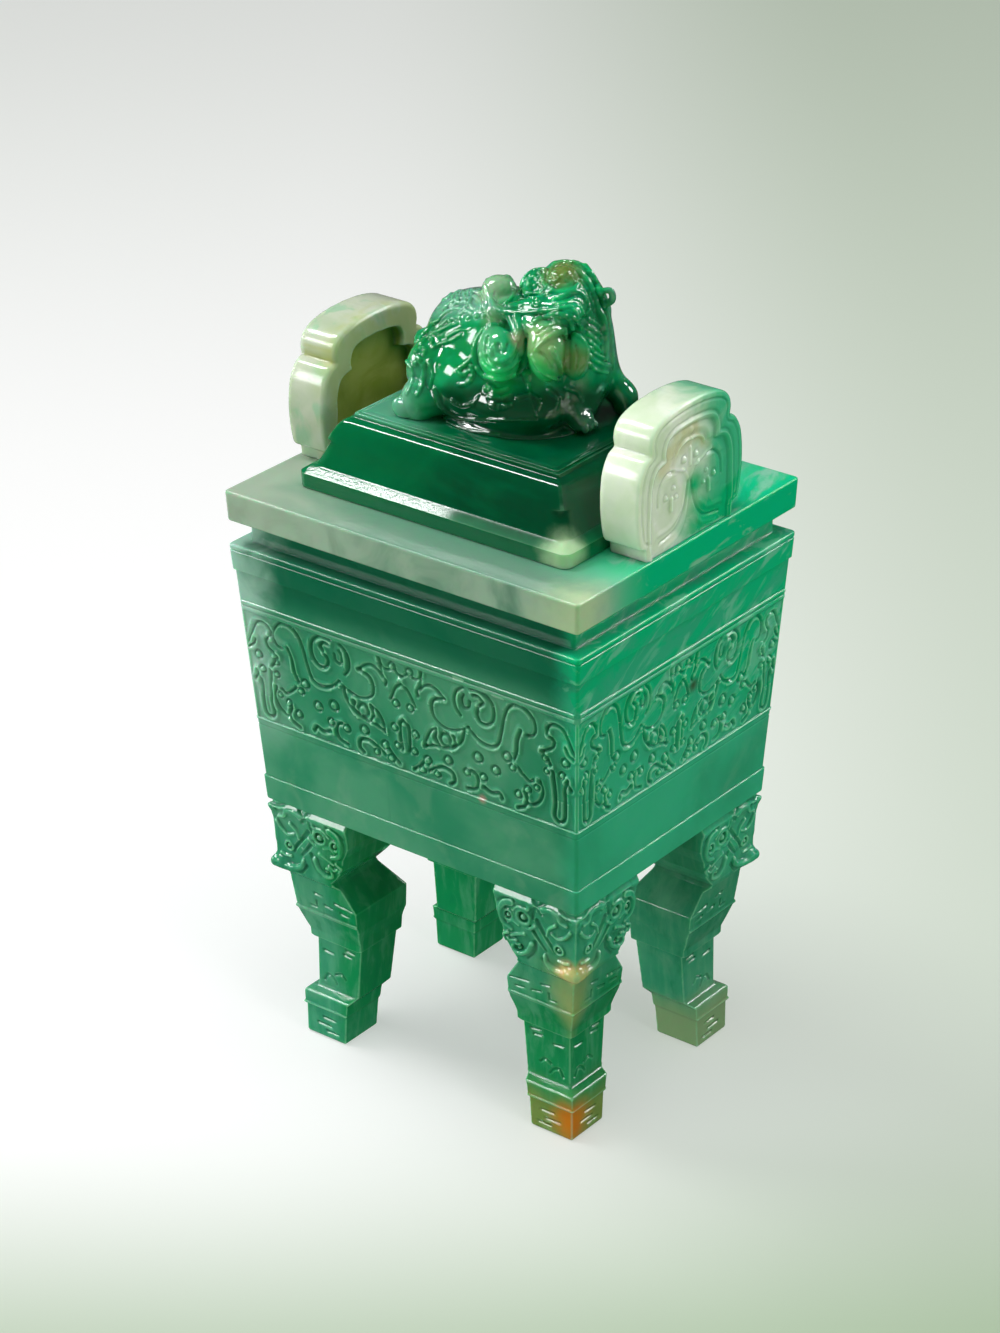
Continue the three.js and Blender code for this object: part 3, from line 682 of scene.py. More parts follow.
class Stone:
    def __init__(self, low, high):
        self.low, self.step = np.asarray(low, float), STONE_STEP
        self.axes = [np.arange(start, end + STONE_STEP, STONE_STEP) for start, end in zip(low, high)]
        self.field = np.full([len(axis) for axis in self.axes], FAR, np.float32)

    def window(self, low, high):
        cuts = []
        for axis in range(3):
            start = int((low[axis] - self.low[axis]) / self.step)
            end = int((high[axis] - self.low[axis]) / self.step) + 2
            size = len(self.axes[axis])
            cuts.append(slice(max(0, min(start, size)), max(0, min(end, size))))
        near = [self.axes[axis][cut] for axis, cut in enumerate(cuts)]
        return tuple(cuts), np.meshgrid(*near, indexing="ij", sparse=True)

    def merge(self, cuts, shape, soft, hollow):
        """Joins a shape to the stone, or carves it out where hollow. soft rounds the seam."""
        sign = -1 if hollow else 1
        part = sign * self.field[cuts]
        if part.size:
            blend = np.clip(soft - np.abs(part - shape), 0, None) / soft
            self.field[cuts] = sign * (np.minimum(part, shape) - blend * blend * soft / 4)

    def lump(self, centre, radii, soft, turn=0, hollow=False):
        """An ellipsoid, turned round Z by degrees."""
        centre, radii = np.asarray(centre, float), np.asarray(radii, float)
        reach = radii.max() + soft + 2 * self.step
        cuts, (x, y, z) = self.window(centre - reach, centre + reach)
        axes = np.array(Matrix.Rotation(math.radians(turn), 3, "Z").transposed())
        offset = (x - centre[0], y - centre[1], z - centre[2])
        local = [sum(axis[i] * offset[i] for i in range(3)) for axis in axes]
        near = np.sqrt(sum((value / radius) ** 2 for value, radius in zip(local, radii)))
        steep = np.sqrt(sum((value / radius ** 2) ** 2 for value, radius in zip(local, radii)))
        shape = near * (near - 1) / np.maximum(steep, 1e-6)
        self.merge(cuts, shape.astype(np.float32), soft, hollow)

    def strand(self, points, start, end, soft, hollow=False, smooth=True):
        """A round bar along a curve whose radius runs from start to end."""
        curve = smooth_curve(points, 5) if smooth else np.asarray(points, float)
        radii = np.linspace(start, end, len(curve))
        reach = max(start, end) + soft + 2 * self.step
        cuts, _ = self.window(curve.min(0) - reach, curve.max(0) + reach)
        total = np.full([cut.stop - cut.start for cut in cuts], FAR, np.float32)
        if total.size == 0:
            return
        for a, b, ra, rb in zip(curve[:-1], curve[1:], radii[:-1], radii[1:]):
            inner, (x, y, z) = self.window(np.minimum(a, b) - reach, np.maximum(a, b) + reach)
            along = b - a
            length = max(along @ along, TINY)
            share = ((x - a[0]) * along[0] + (y - a[1]) * along[1] + (z - a[2]) * along[2]) / length
            share = np.clip(share, 0, 1)
            gap = np.sqrt((x - a[0] - share * along[0]) ** 2 + (y - a[1] - share * along[1]) ** 2
                          + (z - a[2] - share * along[2]) ** 2) - (ra + share * (rb - ra))
            local = tuple(slice(i.start - c.start, i.stop - c.start) for i, c in zip(inner, cuts))
            total[local] = np.minimum(total[local], gap)
        self.merge(cuts, total, soft, hollow)

    def trim(self, bottom, top):
        """Cuts the stone level at the bottom and at the top."""
        level = self.axes[2][None, None, :]
        self.field = np.maximum(self.field, np.maximum(bottom - level, level - top)).astype(np.float32)

    def value(self, points):
        index = [np.clip(np.rint((points[:, axis] - self.low[axis]) / self.step).astype(int), 0,
                         self.field.shape[axis] - 1) for axis in range(3)]
        return self.field[tuple(index)]

    def surface(self):
        """The surface as quads, one point in each grid cell that it crosses."""
        field = self.field
        inside = field < 0
        cells = tuple(size - 1 for size in field.shape)
        count = np.zeros(cells, np.int8)
        for i, j, k in np.ndindex(2, 2, 2):
            count += inside[i:i + cells[0], j:j + cells[1], k:k + cells[2]]
        mixed = (count > 0) & (count < 8)
        place = np.argwhere(mixed)
        number = np.full(mixed.shape, -1, np.int32)
        number[mixed] = np.arange(len(place))
        total, hits = np.zeros(place.shape), np.zeros(len(place))
        units = np.eye(3, dtype=int)
        for axis in range(3):
            step = units[axis]
            u, v = [units[other] for other in range(3) if other != axis]
            for first, second in np.ndindex(2, 2):
                start = place + first * u + second * v
                a, b = field[tuple(start.T)], field[tuple((start + step).T)]
                crossed = (a < 0) != (b < 0)
                share = a[crossed] / (a[crossed] - b[crossed])
                total[crossed] += start[crossed] + share[:, None] * step
                hits[crossed] += 1
        points = self.low + self.step * total / hits[:, None]
        faces = []
        for axis in range(3):
            u, v = units[(axis + 1) % 3], units[(axis + 2) % 3]
            crossed = inside != np.roll(inside, -1, axis)
            spot = np.argwhere(crossed[1:-1, 1:-1, 1:-1]) + 1
            quad = np.stack([number[tuple((spot - offset).T)] for offset in (0 * u, u, u + v, v)], -1)
            outward = inside[tuple(spot.T)]
            quad[~outward] = quad[~outward][:, ::-1]
            faces.append(quad)
        return points, np.vstack(faces)


# The photograph's camera, fitted to the straight edges

AZIMUTH, ELEVATION = math.radians(38.156), math.radians(26.792)
CAMERA_DISTANCE = 800.8
LOOK_RIGHT, LOOK_UP, LOOK_HEIGHT = -2.889, 21.277, 66.0
ROLL = math.radians(-0.577)
FOCAL_PIXELS, PICTURE_HEIGHT, SENSOR = 3750.73, 1333, 36.0


def view_axes(azimuth, elevation):
    back = np.array([math.sin(azimuth) * math.cos(elevation),
                     -math.cos(azimuth) * math.cos(elevation), math.sin(elevation)])
    right = np.array([math.cos(azimuth), math.sin(azimuth), 0.0])
    return right, np.cross(back, right), back


# Legs: two crossed profiles with a beast mask round the outer corner. Places are (across, z),
# measured inwards from the vessel's corner, and both outer faces carry the same carving.

LEG_CORNER = wall_half(LEG_HEIGHT) + 0.3
LEG_OUTER = [
    (1.0, 59.3), (0.9, 59.2), (0.1, 57.8), (0.15, 57.2), (0.6, 56.0), (0.9, 54.2), (1.1, 49.4),
    (1.25, 48.0), (1.35, 43.0), (1.6, 42.0), (3.1, 40.7), (3.4, 38.0), (3.6, 36.2), (4.0, 32.8),
    (3.75, 32.4), (3.75, 32.1), (4.15, 31.7), (4.5, 30.6), (5.3, 28.2), (5.95, 26.4), (6.0, 24.6),
    (7.1, 24.3), (7.0, 12.4), (6.7, 11.7), (4.9, 11.0), (4.7, 10.6), (4.75, 8.1), (4.5, 7.8),
    (4.5, 7.5), (5.0, 7.2), (5.0, 0.5), (5.4, 0.0),
]
LEG_INNER = [
    (15.5, 0.0), (15.9, 0.5), (16.3, 7.0), (16.6, 7.6), (16.9, 10.4), (17.5, 11.1), (18.3, 12.0),
    (19.4, 24.4), (20.2, 24.7), (20.3, 27.4), (20.5, 28.6), (21.0, 30.4), (21.1, 35.7), (19.4, 38.2),
    (16.9, 41.8), (16.5, 42.8), (18.2, 44.8), (19.6, 46.8), (20.2, 50.0), (20.9, 51.4), (21.6, 53.0),
    (21.8, 59.3),
]
# Raised curves with the radius at their start and at their end
MASK_RIDGES = [
    ([(9.0, 57.0), (7.4, 57.9), (5.4, 57.6), (4.4, 56.0), (3.0, 55.6)], 0.5, 0.4),
    ([(12.4, 57.2), (13.0, 56.0), (15.4, 55.9), (16.8, 54.6)], 0.4, 0.3),
    ([(11.2, 52.6), (12.8, 51.4), (14.2, 51.6)], 0.45, 0.3),
    ([(18.4, 48.6), (19.6, 47.8), (19.0, 46.6)], 0.4, 0.3),
    ([(17.2, 56.4), (19.2, 55.6), (20.2, 53.2), (19.4, 50.8), (17.4, 49.9)], 0.8, 0.5),
    ([(15.4, 51.6), (17.0, 52.0), (18.2, 51.2)], 0.5, 0.3),
    ([(14.0, 49.8), (15.6, 49.2), (17.6, 48.2)], 0.55, 0.35),
    ([(12.4, 47.8), (13.4, 45.7), (15.4, 44.5), (17.2, 45.1), (16.9, 46.5), (15.6, 46.6)], 0.6, 0.35),
    ([(2.9, 46.4), (4.2, 46.1), (5.6, 46.2)], 0.4, 0.3),
    ([(6.0, 54.6), (7.6, 53.2), (8.2, 51.4)], 0.45, 0.3),
    ([(2.2, 54.2), (3.4, 52.6), (5.2, 51.6), (6.9, 52.2)], 0.45, 0.3),
    ([(16.4, 47.4), (17.8, 46.8), (18.6, 47.2)], 0.4, 0.3),
    ([(9.0, 46.2), (8.4, 44.6), (6.4, 43.7), (3.6, 43.5), (1.2, 43.7)], 0.45, 1.15),
]
MASK_RINGS = [(14.2, 53.8, 1.7, 0.42), (5.3, 48.9, 1.1, 0.3), (18.2, 52.9, 1.2, 0.32)]
MASK_BEADS = [(5.3, 48.9, 0.5), (14.2, 53.8, 0.75), (18.2, 52.9, 0.5), (15.6, 45.9, 0.5)]
MASK_GROOVES = [
    [(10.8, 54.0), (9.2, 51.8), (7.2, 49.2), (6.4, 47.6)],
    [(12.2, 52.0), (10.4, 49.6), (8.6, 47.4)],
    [(8.9, 58.8), (10.2, 58.0), (11.4, 58.8)],
    [(9.4, 56.0), (10.8, 57.0), (11.6, 55.8), (11.9, 54.2)],
    [(0.6, 58.6), (2.4, 58.2), (4.6, 58.9)],
    [(2.2, 56.8), (3.4, 56.8), (4.2, 57.4)],
    [(9.6, 45.0), (7.4, 42.6), (3.6, 42.3), (1.0, 42.5)],
    [(11.4, 48.6), (11.8, 46.0), (13.6, 43.8)],
    [(16.4, 57.0), (18.8, 56.8), (20.8, 55.4)],
]
# Short straight cuts of the collar, shaft and foot, which only show where they catch the light
LEG_FRETS = [
    [(9.7, 37.4), (11.9, 37.2)],
    [(12.2, 35.1), (14.6, 34.7)],
    [(15.2, 36.6), (20.2, 36.1)],
    [(16.6, 34.5), (18.9, 34.3)],
    [(10.0, 35.4), (10.0, 33.8), (8.2, 33.8)],
    [(15.0, 23.0), (17.4, 22.8)],
    [(14.4, 21.8), (16.6, 21.6)],
    [(8.8, 21.1), (11.4, 20.9)],
    [(9.8, 5.2), (13.2, 5.1)],
    [(8.2, 3.4), (12.0, 3.3)],
    [(10.6, 1.9), (14.0, 1.9)],
]
LEG_ARCS = [
    [(8.8, 13.6), (9.8, 15.2), (11.4, 14.6), (12.2, 13.4)],
    [(12.0, 15.8), (13.6, 16.4), (14.8, 15.4)],
]
# Soft lumps over the outer face: the brow and the cheek of the mask
MASK_LUMPS = [((8.4, 50.6), (3.4, 0.6, 2.8)), ((14.4, 52.6), (4.0, 0.7, 3.6))]
MASK_CHIN = ((2.4, 2.4, 43.9), (2.5, 2.5, 1.7))
# Start and end radius of the short cuts and arcs
FRET_RADII = (0.38, 0.3)
# How far inwards of the face the middle of each kind of stroke lies
GROOVE_SINK, BEAD_SINK, RING_SINK, RIDGE_SINK, FRET_SINK = -0.1, 0.1, -0.15, -0.2, -0.02


def leg_inset(z):
    outer = sorted((level, inset) for inset, level in LEG_OUTER)
    return float(np.interp(z, [level for level, _ in outer], [inset for _, inset in outer]))


def carve_mask(stone, turned):
    """The carving of one outer face. turned exchanges the face's two level axes."""
    def facing(across, inward, up):
        return (inward, across, up) if turned else (across, inward, up)

    def placed(points, sink):
        return [facing(x, leg_inset(z) + sink, z) for x, z in points]

    for (x, z), radii in MASK_LUMPS:
        stone.lump(facing(x, leg_inset(z) + 0.4, z), facing(*radii), soft=0.8)
    for points in MASK_GROOVES:
        stone.strand(placed(points, GROOVE_SINK), 0.55, 0.35, soft=0.25, hollow=True)
    for x, z, radius in MASK_BEADS:
        hollow, bead = placed([(x, z)], GROOVE_SINK)[0], placed([(x, z)], BEAD_SINK)[0]
        stone.lump(hollow, (1.9 * radius,) * 3, soft=0.2, hollow=True)
        stone.lump(bead, (radius,) * 3, soft=0.15)
    for x, z, radius, thick in MASK_RINGS:
        turns = np.linspace(0, 2 * math.pi, 13)
        ring = [(x + radius * math.cos(turn), z + radius * math.sin(turn)) for turn in turns]
        stone.strand(placed(ring, RING_SINK), thick, thick, soft=0.2)
    for points, start, end in MASK_RIDGES:
        stone.strand(placed(points, RIDGE_SINK), start, end, soft=0.25)
    for points in LEG_FRETS:
        stone.strand(placed(points, FRET_SINK), *FRET_RADII, soft=0.1, hollow=True, smooth=False)
    for points in LEG_ARCS:
        stone.strand(placed(points, FRET_SINK), *FRET_RADII, soft=0.1, hollow=True)


def leg_stone():
    stone = Stone((-1, -1, -1), (23, 23, LEG_HEIGHT + 1))
    across, up = np.meshgrid(stone.axes[0], stone.axes[2], indexing="ij")
    profile = distance_inside(across, up, np.array(LEG_OUTER[::-1] + LEG_INNER[::-1]))
    # The leg is where the two profiles cross, with slightly softened arrises
    one, other = profile[:, None, :], profile[None, :, :]
    softness = 0.3
    blend = np.clip(softness - np.abs(one - other), 0, None) / softness
    stone.field = (np.maximum(one, other) + blend * blend * softness / 4).astype(np.float32)
    stone.lump(*MASK_CHIN, soft=1.2)
    for turned in (False, True):
        carve_mask(stone, turned)
    stone.trim(0, LEG_HEIGHT)
    side = np.minimum(stone.axes[0][:, None, None], stone.axes[1][None, :, None])
    stone.field = np.maximum(stone.field, 0.02 - side).astype(np.float32)
    return stone.surface()


def leg_pieces(material):
    points, faces = leg_stone()
    points[:, :2] = LEG_CORNER - points[:, :2]
    pieces = []
    for end, side_x in (("right", 1), ("left", -1)):
        for face, side_y in (("front", -1), ("back", 1)):
            placed = points * np.array([side_x, side_y, 1])
            turned = faces[:, ::-1] if side_x * side_y < 0 else faces
            name = f"leg_{face}_{end}"
            pieces.append(make_piece(name + "_carved", placed, turned, material, "vessel", "leg_jade", name))
    return pieces


# Finial: a crouching beast, its rump at -X and its head at +X turned to the front, with a
# sprig of lingzhi fungus in its jaws whose lobes hang over its flank

DRAWING_CENTRE = np.array([1.0, 0.0, 164.0])
# How far either side of the drawing a sight line is followed, and in what steps
SIGHT_REACH, SIGHT_STEP = 32.0, 0.12


class Drawing:
    """Carries strokes drawn on a plane, in millimetres right and up, along the view onto a stone."""

    def __init__(self, stone, azimuth, elevation):
        self.stone = stone
        self.right, self.up, back = view_axes(azimuth, elevation)
        self.eye = DRAWING_CENTRE + CAMERA_DISTANCE * back

    def onto(self, strokes, sink):
        """The points where the sight lines first meet the stone, moved in by sink."""
        flat = np.asarray(smooth_curve(strokes, 4) if len(strokes) > 1 else strokes, float)
        plane = DRAWING_CENTRE + flat[:, :1] * self.right + flat[:, 1:] * self.up
        sight = plane - self.eye
        sight = sight / np.linalg.norm(sight, axis=1)[:, None]
        travel = np.zeros(len(flat))
        place = plane - SIGHT_REACH * sight
        for _ in range(int(2 * SIGHT_REACH / SIGHT_STEP)):
            travel = travel + (self.stone.value(place) > 0) * SIGHT_STEP
            place = plane + (travel - SIGHT_REACH)[:, None] * sight
        met = travel < 2 * SIGHT_REACH - 2 * SIGHT_STEP
        return place[met] + sink * sight[met]

    def line(self, points, start, end, soft, sink, hollow):
        line = self.onto(points, sink)
        if len(line) > 1:
            self.stone.strand(line, start, end, soft, hollow, smooth=False)

    def raise_line(self, points, start, end, soft=0.4):
        self.line(points, start, end, soft, sink=0.1, hollow=False)

    def cut_line(self, points, start, end):
        self.line(points, start, end, soft=0.3, sink=-0.1, hollow=True)

    def curl(self, centre, radius, thick=0.42):
        self.raise_line(scroll(centre, radius, 1.3, 1.6, 1), thick, 0.6 * thick)


# Centre, radii and softness of the base, trunk, rump, belly, haunches, chest, shoulder and neck
TRUNK = [
    ((0, 0.3, COVER_TOP), (17.6, 13.6, 2.6), 0.8),
    ((-2, 1, 160), (14.5, 12, 14), 2),
    ((-11.5, 1, 160.5), (8.8, 9.5, 10.5), 3),
    ((3, -4.6, 153.2), (13.6, 8.6, 6.6), 2),
    ((-6, -8.2, 155.5), (8.6, 5.6, 7.8), 1.2),
    ((-13.8, -9.0, 156.6), (5.2, 4.6, 6.8), 1.6),
    ((-6, 9.0, 155.5), (8.6, 5.4, 7.8), 1.2),
    ((11, 3, 160), (8.6, 9, 12.6), 3),
    ((14.2, 4.6, 163), (5.6, 7.2, 14.0), 3),
    ((11.5, 3, 169), (7.2, 7.2, 7.6), 3),
]


def beast_body(stone):
    for centre, radii, soft in TRUNK:
        stone.lump(centre, radii, soft)
    # Folded hind legs, their paws and toes
    for y in (-13.2, 12.6):
        stone.strand([(-7, 0.65 * y, 153), (-11, 0.9 * y, 151.5), (-14.2, y, 150.8)], 3.6, 2.8, soft=1)
        stone.lump((-13.8, y, 151.2), (3.8, 3.0, 5.0), soft=0.8)
        for toe in (-1, 0, 1):
            knuckle = (-16.6 + 0.4 * abs(toe), y + 2.2 * toe, 149.9)
            stone.lump(knuckle, (2.6, 1.1, 2.3), soft=0.15)
    # Front legs and paws
    stone.strand([(13, 9, 158), (16, 12, 154), (19.0, 12.8, 151.6)], 3.4, 2.6, soft=1)
    stone.lump((19.0, 12.8, 151.2), (2.6, 3.0, 3.8), soft=0.8)
    stone.strand([(13, -2, 157), (16.0, -2, 153.5), (17.8, -1.2, 150.6)], 2.8, 1.8, soft=1.2)
    stone.lump((18.0, 0.2, 150.6), (2.2, 2.6, 2.2), soft=0.8)
    for toe in (-1, 0, 1):
        stone.lump((19.6, 0.2 + 1.5 * toe, 149.6), (0.9, 0.75, 1.0), soft=0.3)
        stone.lump((20.2, 12.8 + 1.6 * toe, 150.0), (1.0, 0.85, 1.2), soft=0.4)
    # Tail and the full stone below it
    tail = [(-17.8, 3, 155), (-19.8, 0, 158.2), (-19.4, -4.0, 160.8), (-17.2, -7.0, 160.4),
            (-16.2, -7.6, 158)]
    stone.strand(tail, 2.3, 1.6, soft=1.2)
    stone.lump((-16.6, -2.4, 158.0), (2.8, 4.4, 3.4), soft=1.0)
    stone.lump((-12.6, 0, 151.6), (6.2, 9.5, 5.6), soft=1.5)


# Centre, radii, turn and softness of the skull, cheeks, crown, snout, jaw and nape
HEAD = [
    ((10.8, 3.6, 175.9), (5.8, 5.6, 5.4), 0, 1.6),
    ((13.2, 0.4, 174.2), (5.6, 5.4, 5.4), 0, 1.6),
    ((12.1, 1.2, 178.4), (3.4, 3.4, 3.4), 0, 0.4),
    ((16.8, -3.6, 174.6), (3.4, 3.2, 2.4), -40, 0.9),
    ((15.6, -4.4, 171.9), (3.2, 2.8, 1.7), -40, 0.8),
    ((6.6, 1.0, 176.2), (3.6, 3.6, 3.6), 0, 1.2),
]
# The three hanging lobes of the fungus, in the same way
LOBES = [
    ((4.6, -10.0, 164.9), (5.9, 3.8, 5.7), -28, 0.5),
    ((14.0, -6.6, 166.6), (4.6, 3.8, 6.2), -28, 0.5),
    ((18.5, -2.8, 165.4), (2.7, 2.9, 5.0), -28, 0.5),
]
CREST_BEADS = 11


def beast_head(stone):
    for centre, radii, turn, soft in HEAD:
        stone.lump(centre, radii, soft, turn)
    crest = [(8.4, 4.2, 179.6), (11.2, 4.8, 180.2), (14.2, 5.8, 178.6), (16.0, 7.4, 175.2),
             (16.8, 8.6, 171.6)]
    stone.strand(crest, 1.5, 1.4, soft=1.0)
    mane = [(14.2, 5.6, 177), (15.4, 6.6, 173.4), (16.2, 8.0, 168), (16.8, 9.2, 161), (17.8, 11.4, 154)]
    stone.strand(mane, 2.1, 2.3, soft=2.0)
    wisp = [(14.5, 6, 176), (17.6, 6.6, 173.6), (20.0, 7.0, 174.6), (20.2, 6.4, 176.8), (18.8, 5.2, 176.9)]
    stone.strand(wisp, 0.9, 0.6, soft=0.4)
    for share in np.arange(CREST_BEADS) / (CREST_BEADS - 1):
        fall = share * share
        spot = (12.0 + 5.4 * share - 0.8 * fall, 5.0 + 4.2 * share, 181.2 - 1.2 * share - 7.4 * fall)
        stone.lump(spot, (0.8, 0.8, 0.75), soft=0.2)


def lingzhi_sprig(stone):
    for centre, radii, turn, soft in LOBES:
        stone.lump(centre, radii, soft, turn)
    stem = [(15, -4, 175.0), (8.2, -4.8, 174.0), (2.5, -5.3, 171.9), (-1.6, -4.0, 171.8), (-3, -2, 173.6)]
    stone.strand(stem, 1.9, 1.4, soft=0.8)
    stone.strand([(5.0, -6.3, 172.4), (8.0, -8.0, 169.4), (8.8, -8.6, 166.0)], 1.3, 1.0, soft=0.6)
    stone.lump((9.6, -5.4, 171.0), (4.4, 2.8, 2.6), turn=-20, soft=1.2)
    stone.lump((-3.0, 0.2, 173.8), (3.6, 3.2, 2.9), turn=20, soft=0.6)
    stone.strand([(-3.2, -1.6, 173.2), (-1.2, -4.2, 171.6), (0.2, -5.8, 169.8)], 1.9, 0.5, soft=0.4)


# Strokes of the front view, in millimetres right and up from DRAWING_CENTRE, with the radius at
# their start and at their end. Cut ones sink into the stone and all the others stand on it.
FUR = [
    ([(-15.6, 4.0), (-13.8, 5.6), (-12.0, 6.2), (-10.4, 6.0)], 0.5, 0.3),
    ([(-13.9, 6.6), (-12.2, 7.9), (-10.2, 8.4), (-8.6, 8.0)], 0.5, 0.3),
    ([(-12.6, 6.9), (-11.0, 7.4), (-9.4, 7.1), (-8.4, 6.0)], 0.45, 0.3),
    ([(-10.2, 9.0), (-8.4, 9.6), (-6.9, 9.2), (-6.2, 7.8)], 0.5, 0.3),
    ([(-8.0, 8.6), (-7.0, 7.4), (-6.8, 5.6)], 0.4, 0.3),
    ([(-6.3, 9.4), (-5.7, 7.6), (-5.8, 5.4)], 0.4, 0.3),
    ([(-14.8, 3.0), (-13.2, 4.2), (-11.6, 4.4)], 0.45, 0.3),
    ([(-11.0, 5.0), (-9.6, 5.4), (-8.4, 4.8)], 0.45, 0.3),
    ([(-17.9, 2.2), (-16.6, 3.6), (-15.2, 4.2)], 0.45, 0.3),
    ([(-19.3, 0.2), (-18.6, 1.7), (-17.2, 2.6)], 0.45, 0.3),
    ([(-18.9, -0.6), (-17.8, 0.6), (-16.6, 0.4), (-16.9, -0.6)], 0.45, 0.3),
    ([(-17.2, 1.2), (-15.2, 1.9), (-13.6, 2.6), (-11.0, 3.2)], 0.4, 0.35),
    ([(-19.9, -2.2), (-19.0, -1.4), (-18.0, -1.8), (-18.4, -2.8)], 0.45, 0.3),
    ([(-20.2, -4.6), (-19.2, -3.8), (-18.2, -4.2), (-18.6, -5.2)], 0.45, 0.3),
    ([(-5.4, 4.9), (-4.8, 3.6), (-3.6, 2.9)], 0.4, 0.3),
    ([(-16.4, -1.4), (-14.6, -0.6), (-12.6, -0.2), (-10.6, 0.8)], 0.4, 0.3),
    ([(-13.4, 0.6), (-11.2, 1.6), (-9.0, 1.6)], 0.4, 0.3),
]
FUR_BEADS = [(-12.9, 3.6), (-11.0, 4.0), (-9.2, 4.0), (-7.6, 4.2), (-6.2, 4.3), (-9.9, 6.2)]
SPRIG_RAISED = [
    ([(-2.6, 2.2), (-5.4, 1.7), (-7.3, 0.0), (-8.2, -2.6), (-7.9, -5.6), (-6.0, -8.0), (-2.8, -8.9),
      (0.2, -7.8), (1.9, -5.0), (2.0, -2.0)], 0.7, 0.55),
    ([(-4.9, -3.2), (-4.6, -4.9), (-3.0, -5.6), (-1.2, -4.6), (-0.1, -2.4), (0.2, 0.4)], 0.7, 0.45),
    ([(-6.9, -5.4), (-4.6, -7.4), (-1.4, -7.2), (0.9, -5.0)], 0.4, 0.3),
    ([(3.8, 1.9), (5.6, 3.1), (8.8, 3.3), (10.8, 2.3), (11.6, 0.6)], 0.6, 0.45),
    ([(9.6, 0.2), (7.4, -0.9), (5.4, -2.2), (3.9, -3.9)], 0.8, 0.35),
    ([(7.3, -3.6), (8.4, -5.6), (9.2, -7.6), (8.8, -9.0)], 0.7, 0.4),
    ([(10.1, 0.4), (10.3, -3.0), (10.1, -6.6), (9.4, -9.2)], 0.4, 0.35),
    ([(3.2, -4.6), (4.6, -7.2), (6.6, -8.8), (8.6, -9.3)], 0.4, 0.35),
    ([(11.9, -0.4), (13.4, -1.4), (14.3, -3.2), (14.2, -6.0), (12.8, -8.2)], 0.5, 0.4),
    ([(0.6, 3.4), (0.9, 1.0), (0.4, -1.2)], 1.0, 0.6),
    ([(2.3, -7.7), (2.4, -8.8), (2.6, -9.8)], 0.95, 0.45),
    ([(2.6, -9.8), (3.0, -12.6), (4.0, -16.2)], 0.4, 0.3),
    ([(-5.8, 10.2), (-4.9, 7.6), (-3.4, 5.2), (0.0, 4.3), (4.6, 4.3), (8.8, 4.4)], 0.6, 0.5),
    ([(-1.8, 6.4), (-0.6, 8.0), (0.1, 9.8)], 0.5, 0.3),
]
SPRIG_CUT = [
    ([(-5.7, -0.6), (-6.2, -3.2), (-5.2, -6.0), (-2.8, -6.8), (-0.4, -5.8), (0.9, -3.4)], 0.55, 0.3),
    ([(-3.6, -2.4), (-3.2, -3.8), (-2.0, -3.6), (-1.4, -2.0)], 0.7, 0.3),
    ([(2.4, -0.6), (2.3, -3.6), (2.5, -6.6)], 0.5, 0.4),
    ([(4.6, -0.2), (6.2, 0.8), (8.4, 1.2)], 0.35, 0.3),
    ([(5.0, -4.4), (6.4, -5.6), (7.2, -7.2)], 0.5, 0.3),
    ([(10.8, 1.6), (10.9, -2.6), (10.8, -7.4)], 0.4, 0.3),
    ([(12.2, -2.8), (12.6, -5.0), (12.2, -7.0)], 0.35, 0.25),
    ([(-4.2, 8.8), (-3.2, 6.8), (-1.4, 5.6), (1.4, 5.4)], 0.35, 0.25),
]
FACE_RAISED = [
    ([(6.2, 12.8), (5.9, 10.4), (7.4, 8.5), (9.8, 7.9), (12.0, 8.6), (13.2, 10.4)], 0.5, 0.4),
    ([(7.2, 10.6), (8.6, 9.6), (10.4, 9.4), (12.0, 10.2)], 0.4, 0.3),
    ([(8.0, 6.4), (9.6, 7.0), (11.2, 8.0), (13.0, 8.0), (14.4, 6.4), (14.8, 4.6), (13.8, 3.6),
      (13.2, 4.6)], 0.5, 0.35),
    ([(8.6, 5.2), (10.2, 5.6), (11.8, 6.4), (13.0, 6.0)], 0.45, 0.35),
    ([(9.2, 4.4), (11.0, 4.7), (12.2, 3.6), (12.6, 2.4)], 0.45, 0.35),
    ([(8.6, 3.2), (10.6, 2.9), (12.4, 2.2), (13.4, 0.8)], 0.45, 0.35),
    ([(1.4, 7.6), (3.8, 7.1), (6.6, 7.7)], 0.4, 0.3),
    ([(1.2, 9.0), (2.0, 11.4), (3.8, 13.0), (5.6, 13.4)], 0.45, 0.3),
    ([(3.2, 9.2), (2.8, 10.6), (3.8, 11.6), (4.8, 10.8), (4.2, 9.9)], 0.4, 0.28),
    ([(5.2, 11.6), (4.9, 12.6), (5.8, 13.2), (6.6, 12.4)], 0.4, 0.28),
    ([(2.2, 8.2), (3.6, 8.4), (5.2, 8.2), (6.2, 9.2)], 0.35, 0.25),
    ([(5.4, 9.6), (5.0, 10.4), (5.8, 11.0)], 0.35, 0.25),
]
